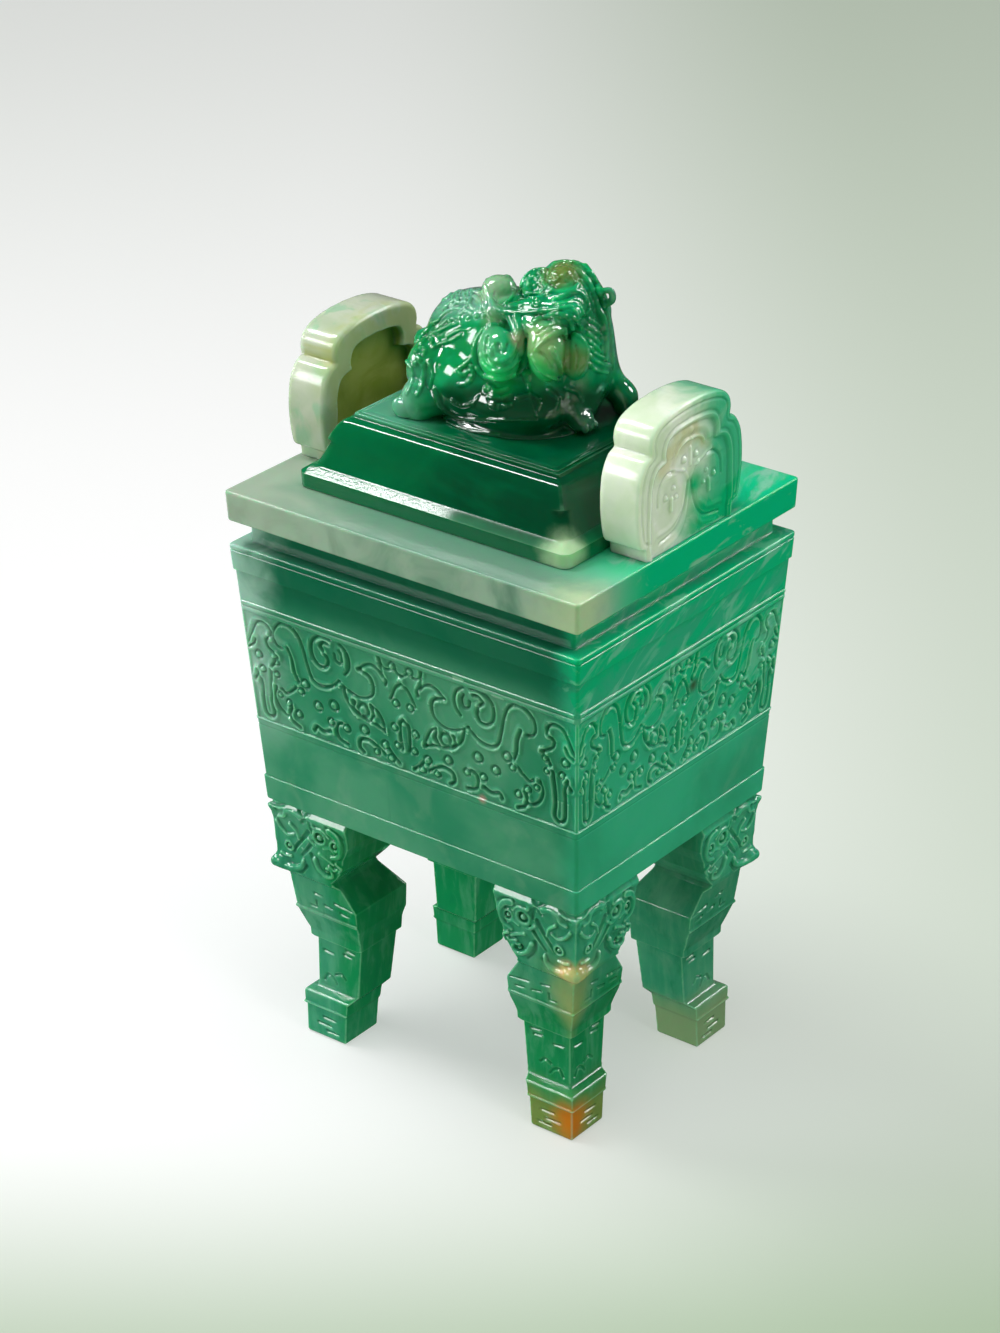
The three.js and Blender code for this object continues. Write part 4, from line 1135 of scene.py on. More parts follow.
MANE_RAISED = [
    ([(12.6, 12.4), (14.4, 10.6), (15.6, 8.2), (16.4, 5.6), (17.6, 3.2), (18.2, 0.0),
      (18.2, -4.4)], 0.7, 0.6),
    ([(14.2, 13.6), (16.0, 11.0), (17.2, 8.0), (18.2, 5.0), (19.1, 1.6), (19.4, -2.4),
      (19.6, -6.0)], 0.55, 0.5),
    ([(14.9, 2.6), (16.2, 2.1), (17.3, 1.4)], 0.4, 0.25),
    ([(14.6, 1.3), (16.0, 0.6), (17.4, -0.3)], 0.4, 0.25),
    ([(14.6, 0.0), (16.0, -0.9), (17.4, -1.9)], 0.4, 0.25),
    ([(14.8, -1.5), (16.0, -2.4), (17.3, -3.4)], 0.4, 0.25),
    ([(15.0, -3.0), (16.4, -4.0), (18.4, -4.9)], 0.4, 0.25),
    ([(15.0, -4.6), (16.8, -5.6), (19.2, -5.9)], 0.4, 0.25),
    ([(14.8, -6.2), (16.6, -7.2), (18.6, -7.4)], 0.4, 0.25),
]
MANE_CUT = [
    ([(13.2, 10.4), (14.6, 8.4), (15.6, 5.6), (16.9, 2.8), (17.4, -0.2), (17.4, -4.2)], 0.45, 0.4),
    ([(14.6, 11.8), (16.2, 8.8), (17.2, 5.4), (18.5, 2.4), (18.9, -1.8), (18.9, -5.4)], 0.4, 0.35),
]
FLANK_RAISED = [
    ([(-8.6, -4.2), (-9.8, -5.2), (-11.4, -6.4), (-10.6, -7.4), (-9.2, -6.6)], 0.55, 0.35),
    ([(-8.8, -5.8), (-8.6, -7.6), (-9.8, -9.2), (-11.4, -9.4)], 0.5, 0.35),
    ([(-5.4, -10.4), (-3.8, -11.2), (-1.6, -10.6)], 0.8, 0.45),
    ([(-4.9, -12.2), (-3.1, -12.7), (-1.1, -12.0)], 0.8, 0.45),
    ([(-4.7, -13.8), (-2.9, -14.3), (-0.9, -14.0)], 0.8, 0.45),
    ([(-16.2, -9.8), (-15.2, -13.0), (-12.2, -15.2), (-8.0, -16.3), (-2.0, -16.8), (4.0, -17.0)], 0.5, 0.35),
    ([(-13.6, -16.4), (-10.0, -18.3), (-3.4, -19.6)], 0.4, 0.3),
    ([(-21.6, -4.0), (-20.6, -6.0), (-20.9, -8.6), (-21.8, -10.6)], 0.5, 0.35),
    ([(-19.6, -3.4), (-18.4, -5.6), (-18.8, -8.6), (-19.8, -11.0)], 0.5, 0.35),
    ([(-17.4, -4.4), (-16.6, -6.8), (-17.2, -9.6)], 0.45, 0.3),
    ([(-12.6, -12.4), (-11.0, -13.4), (-8.6, -13.2), (-7.4, -12.0)], 0.5, 0.3),
    ([(0.6, -12.6), (3.2, -12.2), (4.8, -13.4), (4.4, -15.0)], 0.55, 0.3),
    ([(6.8, -11.0), (8.4, -12.6), (8.0, -14.8)], 0.5, 0.3),
    ([(10.4, -10.6), (12.4, -11.4), (13.4, -13.2)], 0.5, 0.3),
]


# Small curls of the head and of the far flank: right, up and radius
FACE_CURLS = [(8.3, 11.2, 1.1), (10.9, 11.0, 1.2), (7.0, 8.8, 0.9), (4.4, 5.9, 0.8)]
FAR_CURLS = [(12.0, 3.6, 1.4), (14.0, 0.8, 1.3), (9.6, 5.6, 1.3), (5.6, 7.4, 1.2), (1.6, 8.6, 1.2)]
# The fur is cut this much bolder than drawn, at the start and at the end of a stroke
BOLDER_START, BOLDER_END = 1.3, 1.2


def carve_front(stone):
    """Fur, sprig, face, mane and paws of the side that faces the front corner."""
    drawing = Drawing(stone, AZIMUTH, ELEVATION)
    for points, start, end in FUR + FLANK_RAISED + FACE_RAISED:
        drawing.raise_line(points, BOLDER_START * start, BOLDER_END * end, soft=0.2)
    for spot in FUR_BEADS:
        place = drawing.onto([spot], 0.15)
        if len(place):
            stone.lump(place[0], (0.65, 0.65, 0.65), soft=0.2)
    for points, start, end in SPRIG_CUT + MANE_CUT:
        drawing.cut_line(points, start, end)
    for points, start, end in SPRIG_RAISED:
        drawing.raise_line(points, start, end, soft=0.25)
    for points, start, end in MANE_RAISED:
        drawing.raise_line(points, BOLDER_START * start, BOLDER_START * end, soft=0.2)
    drawing.cut_line(scroll((9.7, 11.4), 3.7, 1.0, 0.6, 1)[:8], 0.4, 0.4)
    for right, up, radius in FACE_CURLS:
        drawing.curl((right, up), radius, thick=0.36)


# Two locks of the far side's mane, which are repeated in rows below each other
MANE_LOCKS = [
    [(-16.0, -2.4), (-13.6, 0), (-10.6, 0.4)],
    [(-11.6, -3.0), (-9.4, -1.2), (-6.4, -0.8)],
]


def carve_back(stone):
    """Lines of the far side: ribs of the mane, the far haunch's volute and its locks."""
    drawing = Drawing(stone, AZIMUTH + math.pi, math.radians(22))
    for row in range(4):
        top = 11.0 - 3.4 * row
        for lock in MANE_LOCKS:
            drawing.raise_line([(right + row, top + up) for right, up in lock], 0.6, 0.35)
    drawing.raise_line(scroll((7.6, -4.6), 5.0, 1.4, 2.4, -1), 0.8, 0.4)
    drawing.cut_line(scroll((7.6, -4.6), 3.9, 1.2, 2.4, -1), 0.5, 0.3)
    for right, up, radius in FAR_CURLS:
        drawing.curl((right, up), radius)
    drawing.cut_line([(-2.0, 6.0), (-3.6, 0.0), (-2.6, -6.0), (-0.4, -10.0)], 0.45, 0.35)
    drawing.cut_line([(-5.6, 4.0), (-6.6, -1.0), (-5.8, -6.0)], 0.4, 0.3)


def finial_piece(material):
    stone = Stone(FINIAL_LOW - 1, FINIAL_HIGH + 1)
    beast_body(stone)
    beast_head(stone)
    lingzhi_sprig(stone)
    carve_front(stone)
    carve_back(stone)
    stone.trim(COVER_TOP, FINIAL_HIGH[2])
    return make_piece("beast", *stone.surface(), material, "lid", "finial_jade", "finial")


# Materials

# Numbers of the sockets of a colour mix: base, colour and result
MIX_BASE, MIX_COLOUR, MIX_RESULT = 6, 7, 2


class Nodes:
    """A node tree with short calls."""

    def __init__(self, tree):
        self.tree = tree

    def node(self, kind, inputs, **settings):
        """A new node with its options and its sockets fed, by name or by number."""
        made = self.tree.nodes.new("ShaderNode" + kind)
        for key, value in settings.items():
            setattr(made, key, value)
        for key, value in inputs.items():
            self.feed(made.inputs[key], value)
        return made

    def feed(self, socket, value):
        if isinstance(value, bpy.types.NodeSocket):
            self.tree.links.new(value, socket)
        else:
            socket.default_value = value

    def math(self, operation, first, second=0.0):
        return self.node("Math", {0: first, 1: second}, operation=operation).outputs[0]

    def add(self, first, second):
        return self.math("ADD", first, second)

    def times(self, first, *others):
        for other in others:
            first = self.math("MULTIPLY", first, other)
        return first

    def rest_of(self, value):
        """1 less a value."""
        return self.math("SUBTRACT", 1.0, value)

    def ramp(self, value, low, high, start=0.0, end=1.0):
        """start below low, end above high, smooth between. Low may be the larger."""
        inputs = {"Value": value, "From Min": low, "From Max": high, "To Min": start, "To Max": end}
        return self.node("MapRange", inputs, interpolation_type="SMOOTHSTEP").outputs["Result"]

    def over(self, base, colour, *shares):
        """A colour laid over a base, as strongly as the product of the shares."""
        inputs = {"Factor": self.times(*shares)}
        for socket, value in ((MIX_BASE, base), (MIX_COLOUR, colour)):
            inputs[socket] = value if isinstance(value, bpy.types.NodeSocket) else (*value, 1)
        return self.node("Mix", inputs, data_type="RGBA").outputs[MIX_RESULT]


class Graph(Nodes):
    """The nodes of a material. Every place is read in the frame's own millimetres."""

    def __init__(self, name):
        self.material = bpy.data.materials.new(name)
        self.material.use_nodes = True
        super().__init__(self.material.node_tree)
        self.shader = self.tree.nodes["Principled BSDF"]
        self.colour = None
        place = self.node("TexCoord", {}).outputs["Object"]
        self.place = self.node("VectorMath", {0: place, "Scale": 1 / MM}, operation="SCALE").outputs[0]
        self.x, self.y, self.z = self.node("SeparateXYZ", {"Vector": self.place}).outputs

    def paint(self, colour, *shares):
        """Lays a colour over the stone's colour so far."""
        self.colour = self.over(self.colour, colour, *shares)

    def stretched(self, stretch, turn=(0, 0, 0)):
        """Places for a pattern drawn out along its own axes, which turn says in degrees."""
        angles = [math.radians(angle) for angle in turn]
        inputs = {"Vector": self.place, "Rotation": angles, "Scale": stretch}
        return self.node("Mapping", inputs, vector_type="TEXTURE").outputs["Vector"]

    def noise(self, size, detail=4, rough=0.55, warp=0.0, place=None):
        """Cloudy noise whose blobs are about size millimetres across."""
        inputs = {"Vector": place or self.place, "Scale": 1 / size, "Detail": detail,
                  "Roughness": rough, "Distortion": warp}
        return self.node("TexNoise", inputs).outputs["Fac"]

    def wander(self, value, noise, reach):
        """A value that the noise moves by up to half of reach either way."""
        return self.add(value, self.times(self.add(noise, -0.5), reach))

    def spot(self, centre, radius, soft):
        """1 within a patch of the stone with an uneven edge, 0 outside it."""
        gap = self.node("VectorMath", {0: self.place, 1: centre}, operation="DISTANCE").outputs["Value"]
        return self.ramp(self.wander(gap, self.noise(6), radius * 1.2), radius + soft, radius - soft)

    def along(self, direction, origin):
        """How far a place lies from the origin along a direction of the stone."""
        inputs = {0: self.place, 1: [float(part) for part in direction]}
        reach = self.node("VectorMath", inputs, operation="DOT_PRODUCT").outputs["Value"]
        return self.add(reach, -float(np.dot(direction, origin)))

    def pointiness(self):
        """Below a half in hollows and above it on ridges."""
        return self.node("NewGeometry", {}).outputs["Pointiness"]


# Colours of the stone: walls, rim, legs, handles, cover and beast, with painted shade and light among them
MID_GREEN, GREY_GREEN, CELADON = (0.038, 0.295, 0.155), (0.095, 0.37, 0.215), (0.30, 0.50, 0.36)
SHADE_UNDER_RIM, RIGHT_EMERALD_LIT, LEFT_WALL = (0.002, 0.135, 0.066), (0.04, 0.50, 0.28), (0.42, 0.66, 0.55)
WALL_STREAK, WALL_CLOUD = (0.0, 0.50, 0.225), (0.22, 0.60, 0.42)
BROWN_SPECK, DARK_SPECK = (0.50, 0.33, 0.26), (0.06, 0.05, 0.02)
RIM_GREEN, RIM_PALE, RIM_DEEP_AND_SHADED = (0.15, 0.30, 0.21), (0.35, 0.45, 0.34), (0.05, 0.26, 0.15)
RIM_EDGE_GLOW, RIM_LIGHT, RIM_EMERALD = (0.50, 0.64, 0.50), (0.22, 0.54, 0.37), (0.0, 0.50, 0.23)
RIM_CORNER_GLOW = (0.52, 0.66, 0.40)
LEG_DEEP, FIBRE_LIGHT, FIBRE_DARK = (0.0, 0.25, 0.075), (0.16, 0.46, 0.28), (0.0, 0.17, 0.07)
ARRIS_OLIVE, HONEY, RUST = (0.36, 0.42, 0.15), (0.74, 0.52, 0.18), (0.55, 0.19, 0.012)
FRONT_FOOT, RIGHT_FOOT = (0.21, 0.27, 0.06), (0.26, 0.36, 0.17)
RIGHT_HANDLE = (0.56, 0.68, 0.48), (0.74, 0.79, 0.68)
LEFT_HANDLE = (0.40, 0.48, 0.34), (0.52, 0.57, 0.45)
HANDLE_REAR, HANDLE_PATCH, HANDLE_FLUSH = (0.05, 0.44, 0.23), (0.0, 0.42, 0.16), (0.0, 0.42, 0.17)
HANDLE_ARCH, HANDLE_VEIN, HANDLE_FOOT = (0.56, 0.52, 0.26), (0.20, 0.50, 0.29), (0.34, 0.44, 0.28)
HANDLE_WARM, RECESS = (0.42, 0.48, 0.18), ((0.26, 0.33, 0.05), (0.40, 0.44, 0.11))
DEEP, INK, COVER_LAYER = (0.0, 0.17, 0.055), (0.0, 0.075, 0.026), (0.0, 0.16, 0.055)
COVER_FOOT, COVER_CORNER, PLATE_LEFT = (0.0, 0.24, 0.085), (0.52, 0.74, 0.44), (0.10, 0.36, 0.24)
BEAST_GREENS, HAUNCH = ((0.0, 0.32, 0.11), (0.0, 0.54, 0.20)), (0.0, 0.36, 0.09)
FUR_SHEEN, MANE_EDGE_GLOW = (0.24, 0.58, 0.41), (0.16, 0.50, 0.34)
BEAST_CAVITY_SHADE, BEAST_RIDGE_GLOW, BEAST_LOW = (0.0, 0.05, 0.018), (0.40, 0.84, 0.58), (0.0, 0.085, 0.026)
PAINTED_HOLLOW_SHADE, PAINTED_RIDGE_LIGHT = (0.0, 0.09, 0.04), (0.40, 0.72, 0.52)
# Pointiness where the painted shade of a hollow and the painted light of a ridge start, and where they are
# full
HOLLOW_BEND, RIDGE_BEND = (0.495, 0.44), (0.51, 0.56)


def polish(graph, radius, scale, roughness, coat, depth, ridged=None, pitted=None, coat_roughness=0.04,
           ior=1.5):
    """The polished translucent surface that all of the stone shares. Hollows get a painted shade
    and thin ridges a painted light, both as strong as depth says, the ridges where ridged is 1.
    The polish is uneven where pitted is 1."""
    bend = graph.pointiness()
    # Painted shade in hollows and painted light on thin ridges
    graph.paint(PAINTED_HOLLOW_SHADE, graph.ramp(bend, *HOLLOW_BEND), 0.8 * depth)
    graph.paint(PAINTED_RIDGE_LIGHT, graph.ramp(bend, *RIDGE_BEND), 1.2 * depth, *([ridged] if ridged else []))
    grain = graph.add(graph.noise(1.3, 3), graph.times(graph.noise(0.45, 2), 0.4))
    if pitted:
        grain = graph.add(grain, graph.times(graph.noise(0.7, 3, 0.6), graph.times(pitted, 5)))
    bump = graph.node("Bump", {"Height": grain, "Strength": 0.08, "Distance": 0.0002})
    uneven = graph.times(graph.noise(9, 5), 0.1)
    finish = {
        "Base Color": graph.colour,
        "Subsurface Weight": 1.0,
        "Subsurface Radius": radius,
        "Subsurface Scale": scale * MM,
        "IOR": ior,
        "Coat Weight": coat,
        "Coat Roughness": coat_roughness,
        "Roughness": graph.add(uneven, graph.add(roughness, -0.05)),
        "Normal": bump.outputs["Normal"],
    }
    for name, value in finish.items():
        graph.feed(graph.shader.inputs[name], value)
    return graph.material


def paint_block(graph):
    """Cloudy grey-green stone with emerald streaks on the right and a paler rim, with painted shade
    under the lip and by the cover, and painted light on the right face and the rim's edges.
    """
    x, y, z = graph.x, graph.y, graph.z
    cloud = graph.noise(30, 4, 0.5, 0.5)
    wisp = graph.noise(9, 4, 0.5, 0.6)
    graph.colour = graph.over(MID_GREEN, GREY_GREEN, graph.ramp(cloud, 0.38, 0.62))
    graph.paint(CELADON, graph.ramp(wisp, 0.5, 0.72), 0.18)
    # Painted shade: darker green from the frieze's top border up to the rim, for the shade under the lip and
    # the rim's overhang
    graph.paint(SHADE_UNDER_RIM, graph.ramp(z, 104, 112), 0.85)
    # The right face is a brighter emerald: partly the stone's own colour and partly painted light coming
    # through from the right
    right = graph.ramp(graph.wander(x, cloud, 16), 36, 43)
    graph.paint(RIGHT_EMERALD_LIT, right, 0.8)
    # Emerald streaks and pale clouds climb from the front corner to the back of the right face
    streak = graph.noise(6, 5, 0.6, 0.5, graph.stretched((1, 3.2, 1), (26, 0, 0)))
    pale_streak = graph.noise(4.5, 5, 0.6, 0.8, graph.stretched((1, 3.6, 1), (30, 0, 0)))
    high = graph.ramp(graph.add(z, graph.times(y, 0.25)), 78, 104)
    graph.paint(WALL_STREAK, graph.ramp(streak, 0.44, 0.56), right, high, 0.9)
    graph.paint(WALL_CLOUD, graph.ramp(pale_streak, 0.52, 0.66), right, high, 0.6)
    # The rim is pale at its left end, greener along the front and emerald on the right
    tone = graph.noise(15, 4, 0.5, 0.9)
    rim = graph.over(RIM_GREEN, RIM_PALE, graph.ramp(graph.wander(x, tone, 40), 2, -44))
    outward = graph.math("MAXIMUM", graph.add(graph.math("ABSOLUTE", x), -45.3),
                         graph.add(graph.math("ABSOLUTE", y), -38.0))
    # Deeper green towards the cover: partly the stone's own colour and partly painted shade from the cover
    rim = graph.over(rim, RIM_DEEP_AND_SHADED, graph.rest_of(graph.ramp(outward, -14, -4)), 0.5)
    # Painted light: the rim's sides are paler in patches, as if light shone through the slab's thin edge
    below_top = graph.ramp(z, RIM_TOP - 0.1, RIM_TOP - 0.5)
    rim = graph.over(rim, RIM_EDGE_GLOW, below_top, graph.ramp(tone, 0.3, 0.6), 0.6)
    rim = graph.over(rim, RIM_LIGHT, graph.ramp(x, 24, 42), graph.ramp(y, -34, -20))
    swathe = graph.noise(5, 5, 0.6, 0.7, graph.stretched((1, 3.4, 1), (0, 0, 14)))
    rim = graph.over(rim, RIM_EMERALD, graph.ramp(x, 22, 40), graph.ramp(y, -32, -14),
                     graph.ramp(swathe, 0.34, 0.48))
    at_rim = graph.ramp(z, 124.4, 125.6)
    graph.paint(rim, at_rim)
    # Painted light: a pale patch at the rim's front right corner, as if light shone through it
    graph.paint(RIM_CORNER_GLOW, graph.spot((45, -38, 128), 8, 7), at_rim, 0.9)
    # The left end of the walls is paler
    left = graph.ramp(graph.wander(x, wisp, 18), -31, -44)
    graph.paint(LEFT_WALL, left, graph.ramp(z, 66, 92), graph.ramp(z, 124.8, 124.2), 0.9)
    # Small inclusions on the frieze
    graph.paint(BROWN_SPECK, graph.spot((18.5, -34.6, 79.2), 0.9, 0.7))
    graph.paint(DARK_SPECK, graph.spot((43.3, 4.0, 97.0), 1.1, 1.2), 0.8)


def vessel_jade():
    graph = Graph("vessel_jade")
    paint_block(graph)
    frieze = graph.times(graph.ramp(graph.z, FRIEZE_BOTTOM - 1, FRIEZE_BOTTOM),
                         graph.ramp(graph.z, FRIEZE_TOP + 1, FRIEZE_TOP))
    # The rim's top is satin and the rest is polished
    top = graph.ramp(graph.z, RIM_TOP - 0.2, RIM_TOP - 0.05)
    roughness = graph.add(graph.times(top, 0.24), 0.08)
    # depth sets the painted shade in hollows and the painted light on the frieze's ridges
    return polish(graph, (0.35, 1.0, 0.6), 1.2, roughness, coat=0.0, depth=0.38, ridged=frieze)


def leg_jade():
    graph = Graph("leg_jade")
    paint_block(graph)
    x, y, z = graph.x, graph.y, graph.z
    cloud = graph.noise(14, 4, 0.5, 0.6)
    # Deep green on the inner sides of the left legs, on the far left leg and low on the near right one
    at_left, at_right = graph.ramp(x, 0, -4), graph.ramp(x, 0, 4)
    inner = graph.times(graph.ramp(graph.wander(x, cloud, 10), -30, -24), at_left)
    far_left = graph.times(at_left, graph.ramp(y, -4, 4))
    shaft = graph.times(graph.ramp(graph.wander(z, cloud, 26), 40, 26), at_right, graph.ramp(y, 4, -4))
    deep = graph.math("MAXIMUM", inner, graph.math("MAXIMUM", far_left, shaft))
    graph.paint(LEG_DEEP, deep, 0.9)
    fibre = graph.noise(3.2, 5, 0.6, 0.4, graph.stretched((1, 1, 4)))
    graph.paint(FIBRE_LIGHT, graph.ramp(fibre, 0.46, 0.68), 0.28)
    graph.paint(FIBRE_DARK, graph.ramp(fibre, 0.46, 0.3), 0.35)

    def at_corner(inset, level, radius, soft):
        """A patch by the outer corner of the front right leg."""
        return graph.spot((LEG_HIGH[0] - inset, inset - LEG_HIGH[1], level), radius, soft)

    corner = LEG_HIGH[0] + LEG_HIGH[1]
    arris = graph.ramp(graph.wander(graph.math("SUBTRACT", x, y), cloud, 8), corner - 16, corner - 8)
    graph.paint(ARRIS_OLIVE, arris, at_corner(3, 33, 9, 8), 0.8)
    graph.paint(HONEY, at_corner(2.5, 43.6, 2.7, 2.0))
    foot = graph.ramp(graph.wander(z, cloud, 10), 14, 6)
    right = graph.ramp(x, 10, 14)
    graph.paint(FRONT_FOOT, foot, right, graph.ramp(y, -4, -10), 0.85)
    graph.paint(RUST, at_corner(5, 4.5, 4.4, 3.6))
    graph.paint(RIGHT_FOOT, foot, right, graph.ramp(y, 4, 10), 0.8)
    # depth sets the painted shade in hollows and the painted light on ridges
    return polish(graph, (0.35, 1.0, 0.55), 1.3, roughness=0.1, coat=0.5, depth=0.36)


def paint_right_handle(graph, flush):
    """An emerald flush low down and behind, and a warm arch in the field."""
    x, y, z = graph.x, graph.y, graph.z
    graph.paint(HANDLE_REAR, graph.ramp(graph.wander(y, flush, 16), -4, 12))
    hub = (44, 0, RIM_TOP + 14)
    arch = graph.math("SUBTRACT", graph.spot(hub, 9.6, 1.6), graph.spot(hub, 7.0, 1.6))
    graph.paint(HANDLE_ARCH, arch, graph.ramp(z, RIM_TOP + 15, RIM_TOP + 18), graph.ramp(y, 9, 3), 0.6)
    graph.paint(HANDLE_PATCH, graph.spot((44.6, 1.4, RIM_TOP + 11), 2.2, 2.4), graph.ramp(x, 40.0, 42.0))
    low = graph.ramp(graph.wander(z, flush, 16), RIM_TOP + 10, RIM_TOP + 4)
    graph.paint(HANDLE_FLUSH, low, graph.ramp(graph.wander(y, flush, 14), -6, 4))


def paint_left_handle(graph, flush, cloud):
    """Green veins, a warm border and an olive recess."""
    x, z = graph.x, graph.z
    vein = graph.noise(5, 4, 0.5, 0.5, graph.stretched((1, 1, 2.6), (30, 0, 0)))
    graph.paint(HANDLE_VEIN, graph.ramp(vein, 0.52, 0.68), 0.5)
    level = graph.wander(z, flush, 16)
    graph.paint(HANDLE_FOOT, graph.ramp(level, RIM_TOP + 7, RIM_TOP), 0.35)
    across = graph.math("ABSOLUTE", graph.y)
    inward = graph.ramp(x, -HANDLE_HIGH[0] + 4, -HANDLE_LOW[0] - 1)
    graph.paint(HANDLE_WARM, graph.ramp(graph.wander(across, flush, 6), 18.5, 14.0), inward,
                graph.ramp(level, RIM_TOP + 31, RIM_TOP + 26), 0.6)
    depth = graph.ramp(x, -HANDLE_LOW[0] - 0.5, -HANDLE_LOW[0] - 1.4)
    near = graph.ramp(x, -HANDLE_HIGH[0] + 1.2, -HANDLE_HIGH[0] + 2.0)
    graph.paint(graph.over(*RECESS, graph.ramp(cloud, 0.35, 0.65)), depth, near,
                graph.ramp(across, 14.0, 13.2), graph.ramp(z, RIM_TOP + 25.4, RIM_TOP + 24.6))


def handle_jade(name, right):
    """Pale celadon, softly polished."""
    graph = Graph(name)
    cloud = graph.noise(11, 4, 0.5, 0.7)
    flush = graph.noise(7, 4, 0.5, 0.8)
    graph.colour = graph.over(*(RIGHT_HANDLE if right else LEFT_HANDLE), graph.ramp(cloud, 0.3, 0.7))
    if right:
        paint_right_handle(graph, flush)
    else:
        paint_left_handle(graph, flush, cloud)
    # depth sets the painted shade in hollows and the painted light on ridges
    return polish(graph, (0.9, 1.0, 0.75), 2.0, roughness=0.2, coat=0.5, depth=0.22, coat_roughness=0.14)


def cover_jade():
    """Ink green at the right, clearer at the left, with an uneven band along its foot."""
    graph = Graph("cover_jade")
    x, y, z = graph.x, graph.y, graph.z
    cloud = graph.noise(14, 4, 0.5, 0.6)
    graph.colour = graph.over(INK, DEEP, graph.ramp(graph.wander(x, cloud, 50), 16, -22))
    layer = graph.noise(4.5, 4, 0.5, 0.3, graph.stretched((4, 4, 1)))
    graph.paint(COVER_LAYER, graph.ramp(layer, 0.45, 0.7), 0.5)
    graph.paint(COVER_FOOT, graph.ramp(z, RIM_TOP + 6, RIM_TOP + 1), 0.7)
    corner = (COVER_HALF[0] - 1, 1 - COVER_HALF[1], RIM_TOP + 2.5)
    graph.paint(COVER_CORNER, graph.spot(corner, 4.4, 3.4), 0.95)
    leftward = graph.ramp(graph.add(x, graph.times(y, 0.4)), -10, -26)
    graph.paint(PLATE_LEFT, leftward, graph.ramp(z, 146.5, 147.6), 0.8)
    band = graph.times(graph.ramp(z, RIM_TOP + 3.1, RIM_TOP + 3.5),
                       graph.ramp(z, RIM_TOP + 5.1, RIM_TOP + 4.3))
    dulled = graph.times(band, graph.ramp(graph.wander(x, cloud, 20), 0, 14))
    roughness = graph.add(graph.times(dulled, 0.6), 0.08)
    # depth sets the painted shade in hollows and the painted light on ridges
    return polish(graph, (0.25, 1.0, 0.5), 2.5, roughness, coat=0.0, depth=0.2, pitted=band)


# Patches of the beast: centre, radius, softness, strength and colour
BEAST_PATCHES = [
    ((11.9, 1.5, 180.0), 3.6, 1.6, 0.85, (0.24, 0.30, 0.06)),
    ((4.4, -12.0, 166.0), 4.6, 1.6, 0.8, (0.14, 0.58, 0.28)),
    ((5.9, -12.0, 161.6), 3.8, 2.0, 0.9, (0.01, 0.80, 0.20)),
    ((14.2, -9, 169.0), 4.4, 2.4, 0.85, (0.40, 0.62, 0.26)),
    ((13.6, -9, 162.6), 3.6, 2.0, 0.85, (0.03, 0.78, 0.20)),
    ((19.4, -5, 165.4), 3.4, 1.8, 0.85, (0.22, 0.30, 0.06)),
    ((-3, -1, 174), 4.0, 1.6, 0.75, (0.42, 0.68, 0.40)),
    ((0.4, -5.4, 170.2), 2.6, 1.4, 0.6, (0.25, 0.48, 0.20)),
    ((8.6, -9.4, 168.6), 1.8, 1.0, 0.85, (0.50, 0.50, 0.30)),
    ((-17, -14, 152), 5, 2.5, 0.75, (0.22, 0.54, 0.38)),
    ((-14, -13, 157), 3, 3, 0.6, (0.10, 0.44, 0.28)),
    ((21, 1, 152), 4, 3, 0.5, (0.12, 0.38, 0.24)),
]


def finial_jade():
    """Vivid emerald, ink green low down, with lime and olive patches. The thin fur gets a painted
    sheen, the mane's edge a painted glow, hollows a painted shade and ridges a painted light.
    """
    graph = Graph("finial_jade")
    cloud = graph.noise(9, 3, 0.45, 0.5)
    right, up, _ = view_axes(AZIMUTH, ELEVATION)
    # How far right and up a place lies in the strokes' own plane
    u = graph.wander(graph.along(right, DRAWING_CENTRE), cloud, 5)
    v = graph.wander(graph.along(up, DRAWING_CENTRE), cloud, 5)
    graph.colour = graph.over(*BEAST_GREENS, graph.ramp(cloud, 0.4, 0.62))
    graph.paint(HAUNCH, graph.ramp(u, -4, -8), graph.ramp(v, -9, -5), graph.ramp(v, 4, 2), 0.7)
    # Painted sheen and light: the thin fur of the back is paler, as if it reflected the bright sky and let
    # light through
    graph.paint(FUR_SHEEN, graph.ramp(u, -2, -6), graph.ramp(v, 2.5, 6.5), 0.75)
    # Painted light: the mane's outer edge glows as if light came through it
    graph.paint(MANE_EDGE_GLOW, graph.ramp(u, 17.4, 19.2), graph.ramp(v, -8, -3), 0.6)
    # Painted shade in the hollows and painted light on the ridges
    bend = graph.pointiness()
    graph.paint(BEAST_CAVITY_SHADE, graph.ramp(bend, 0.5, 0.42), 0.7)
    graph.paint(BEAST_RIDGE_GLOW, graph.ramp(bend, 0.54, 0.64), 0.5)
    graph.paint(BEAST_LOW, graph.ramp(v, -6.0, -13.0), graph.ramp(u, -20, -14), 0.95)
    for centre, radius, soft, share, tone in BEAST_PATCHES:
        graph.paint(tone, graph.spot(centre, radius, soft), share)
    graph.shader.inputs["Transmission Weight"].default_value = 0.32
    # depth sets the painted shade in hollows and the painted light on ridges
    return polish(graph, (0.2, 1.0, 0.4), 1.3, roughness=0.06, coat=0.8, depth=0.1, pitted=0.25, ior=1.66)


# Stage, light and camera

FLOOR_WHITE = (1.0, 1.0, 1.0)
FLOOR_GREEN = (0.27, 0.42, 0.215)
# How strongly the glowing floor is painted darker and greener to the right, far away and near: a painted
# fall-off of the studio light
FLOOR_RIGHT_FALLOFF, FLOOR_FAR_FALLOFF, FLOOR_NEAR_FALLOFF = 0.50, 0.14, 0.80
FLOOR_GLOW, FLOOR_DIFFUSE = 0.48, 0.61
FLOOR_REACH = 6.0
GROUND_GLOW, FAR_GROUND_GLOW, WALL_GLOW, CEILING_GLOW = 0.02, 0.10, 0.09, 0.05
WORLD_TINT = (0.93, 1.0, 0.95, 1)
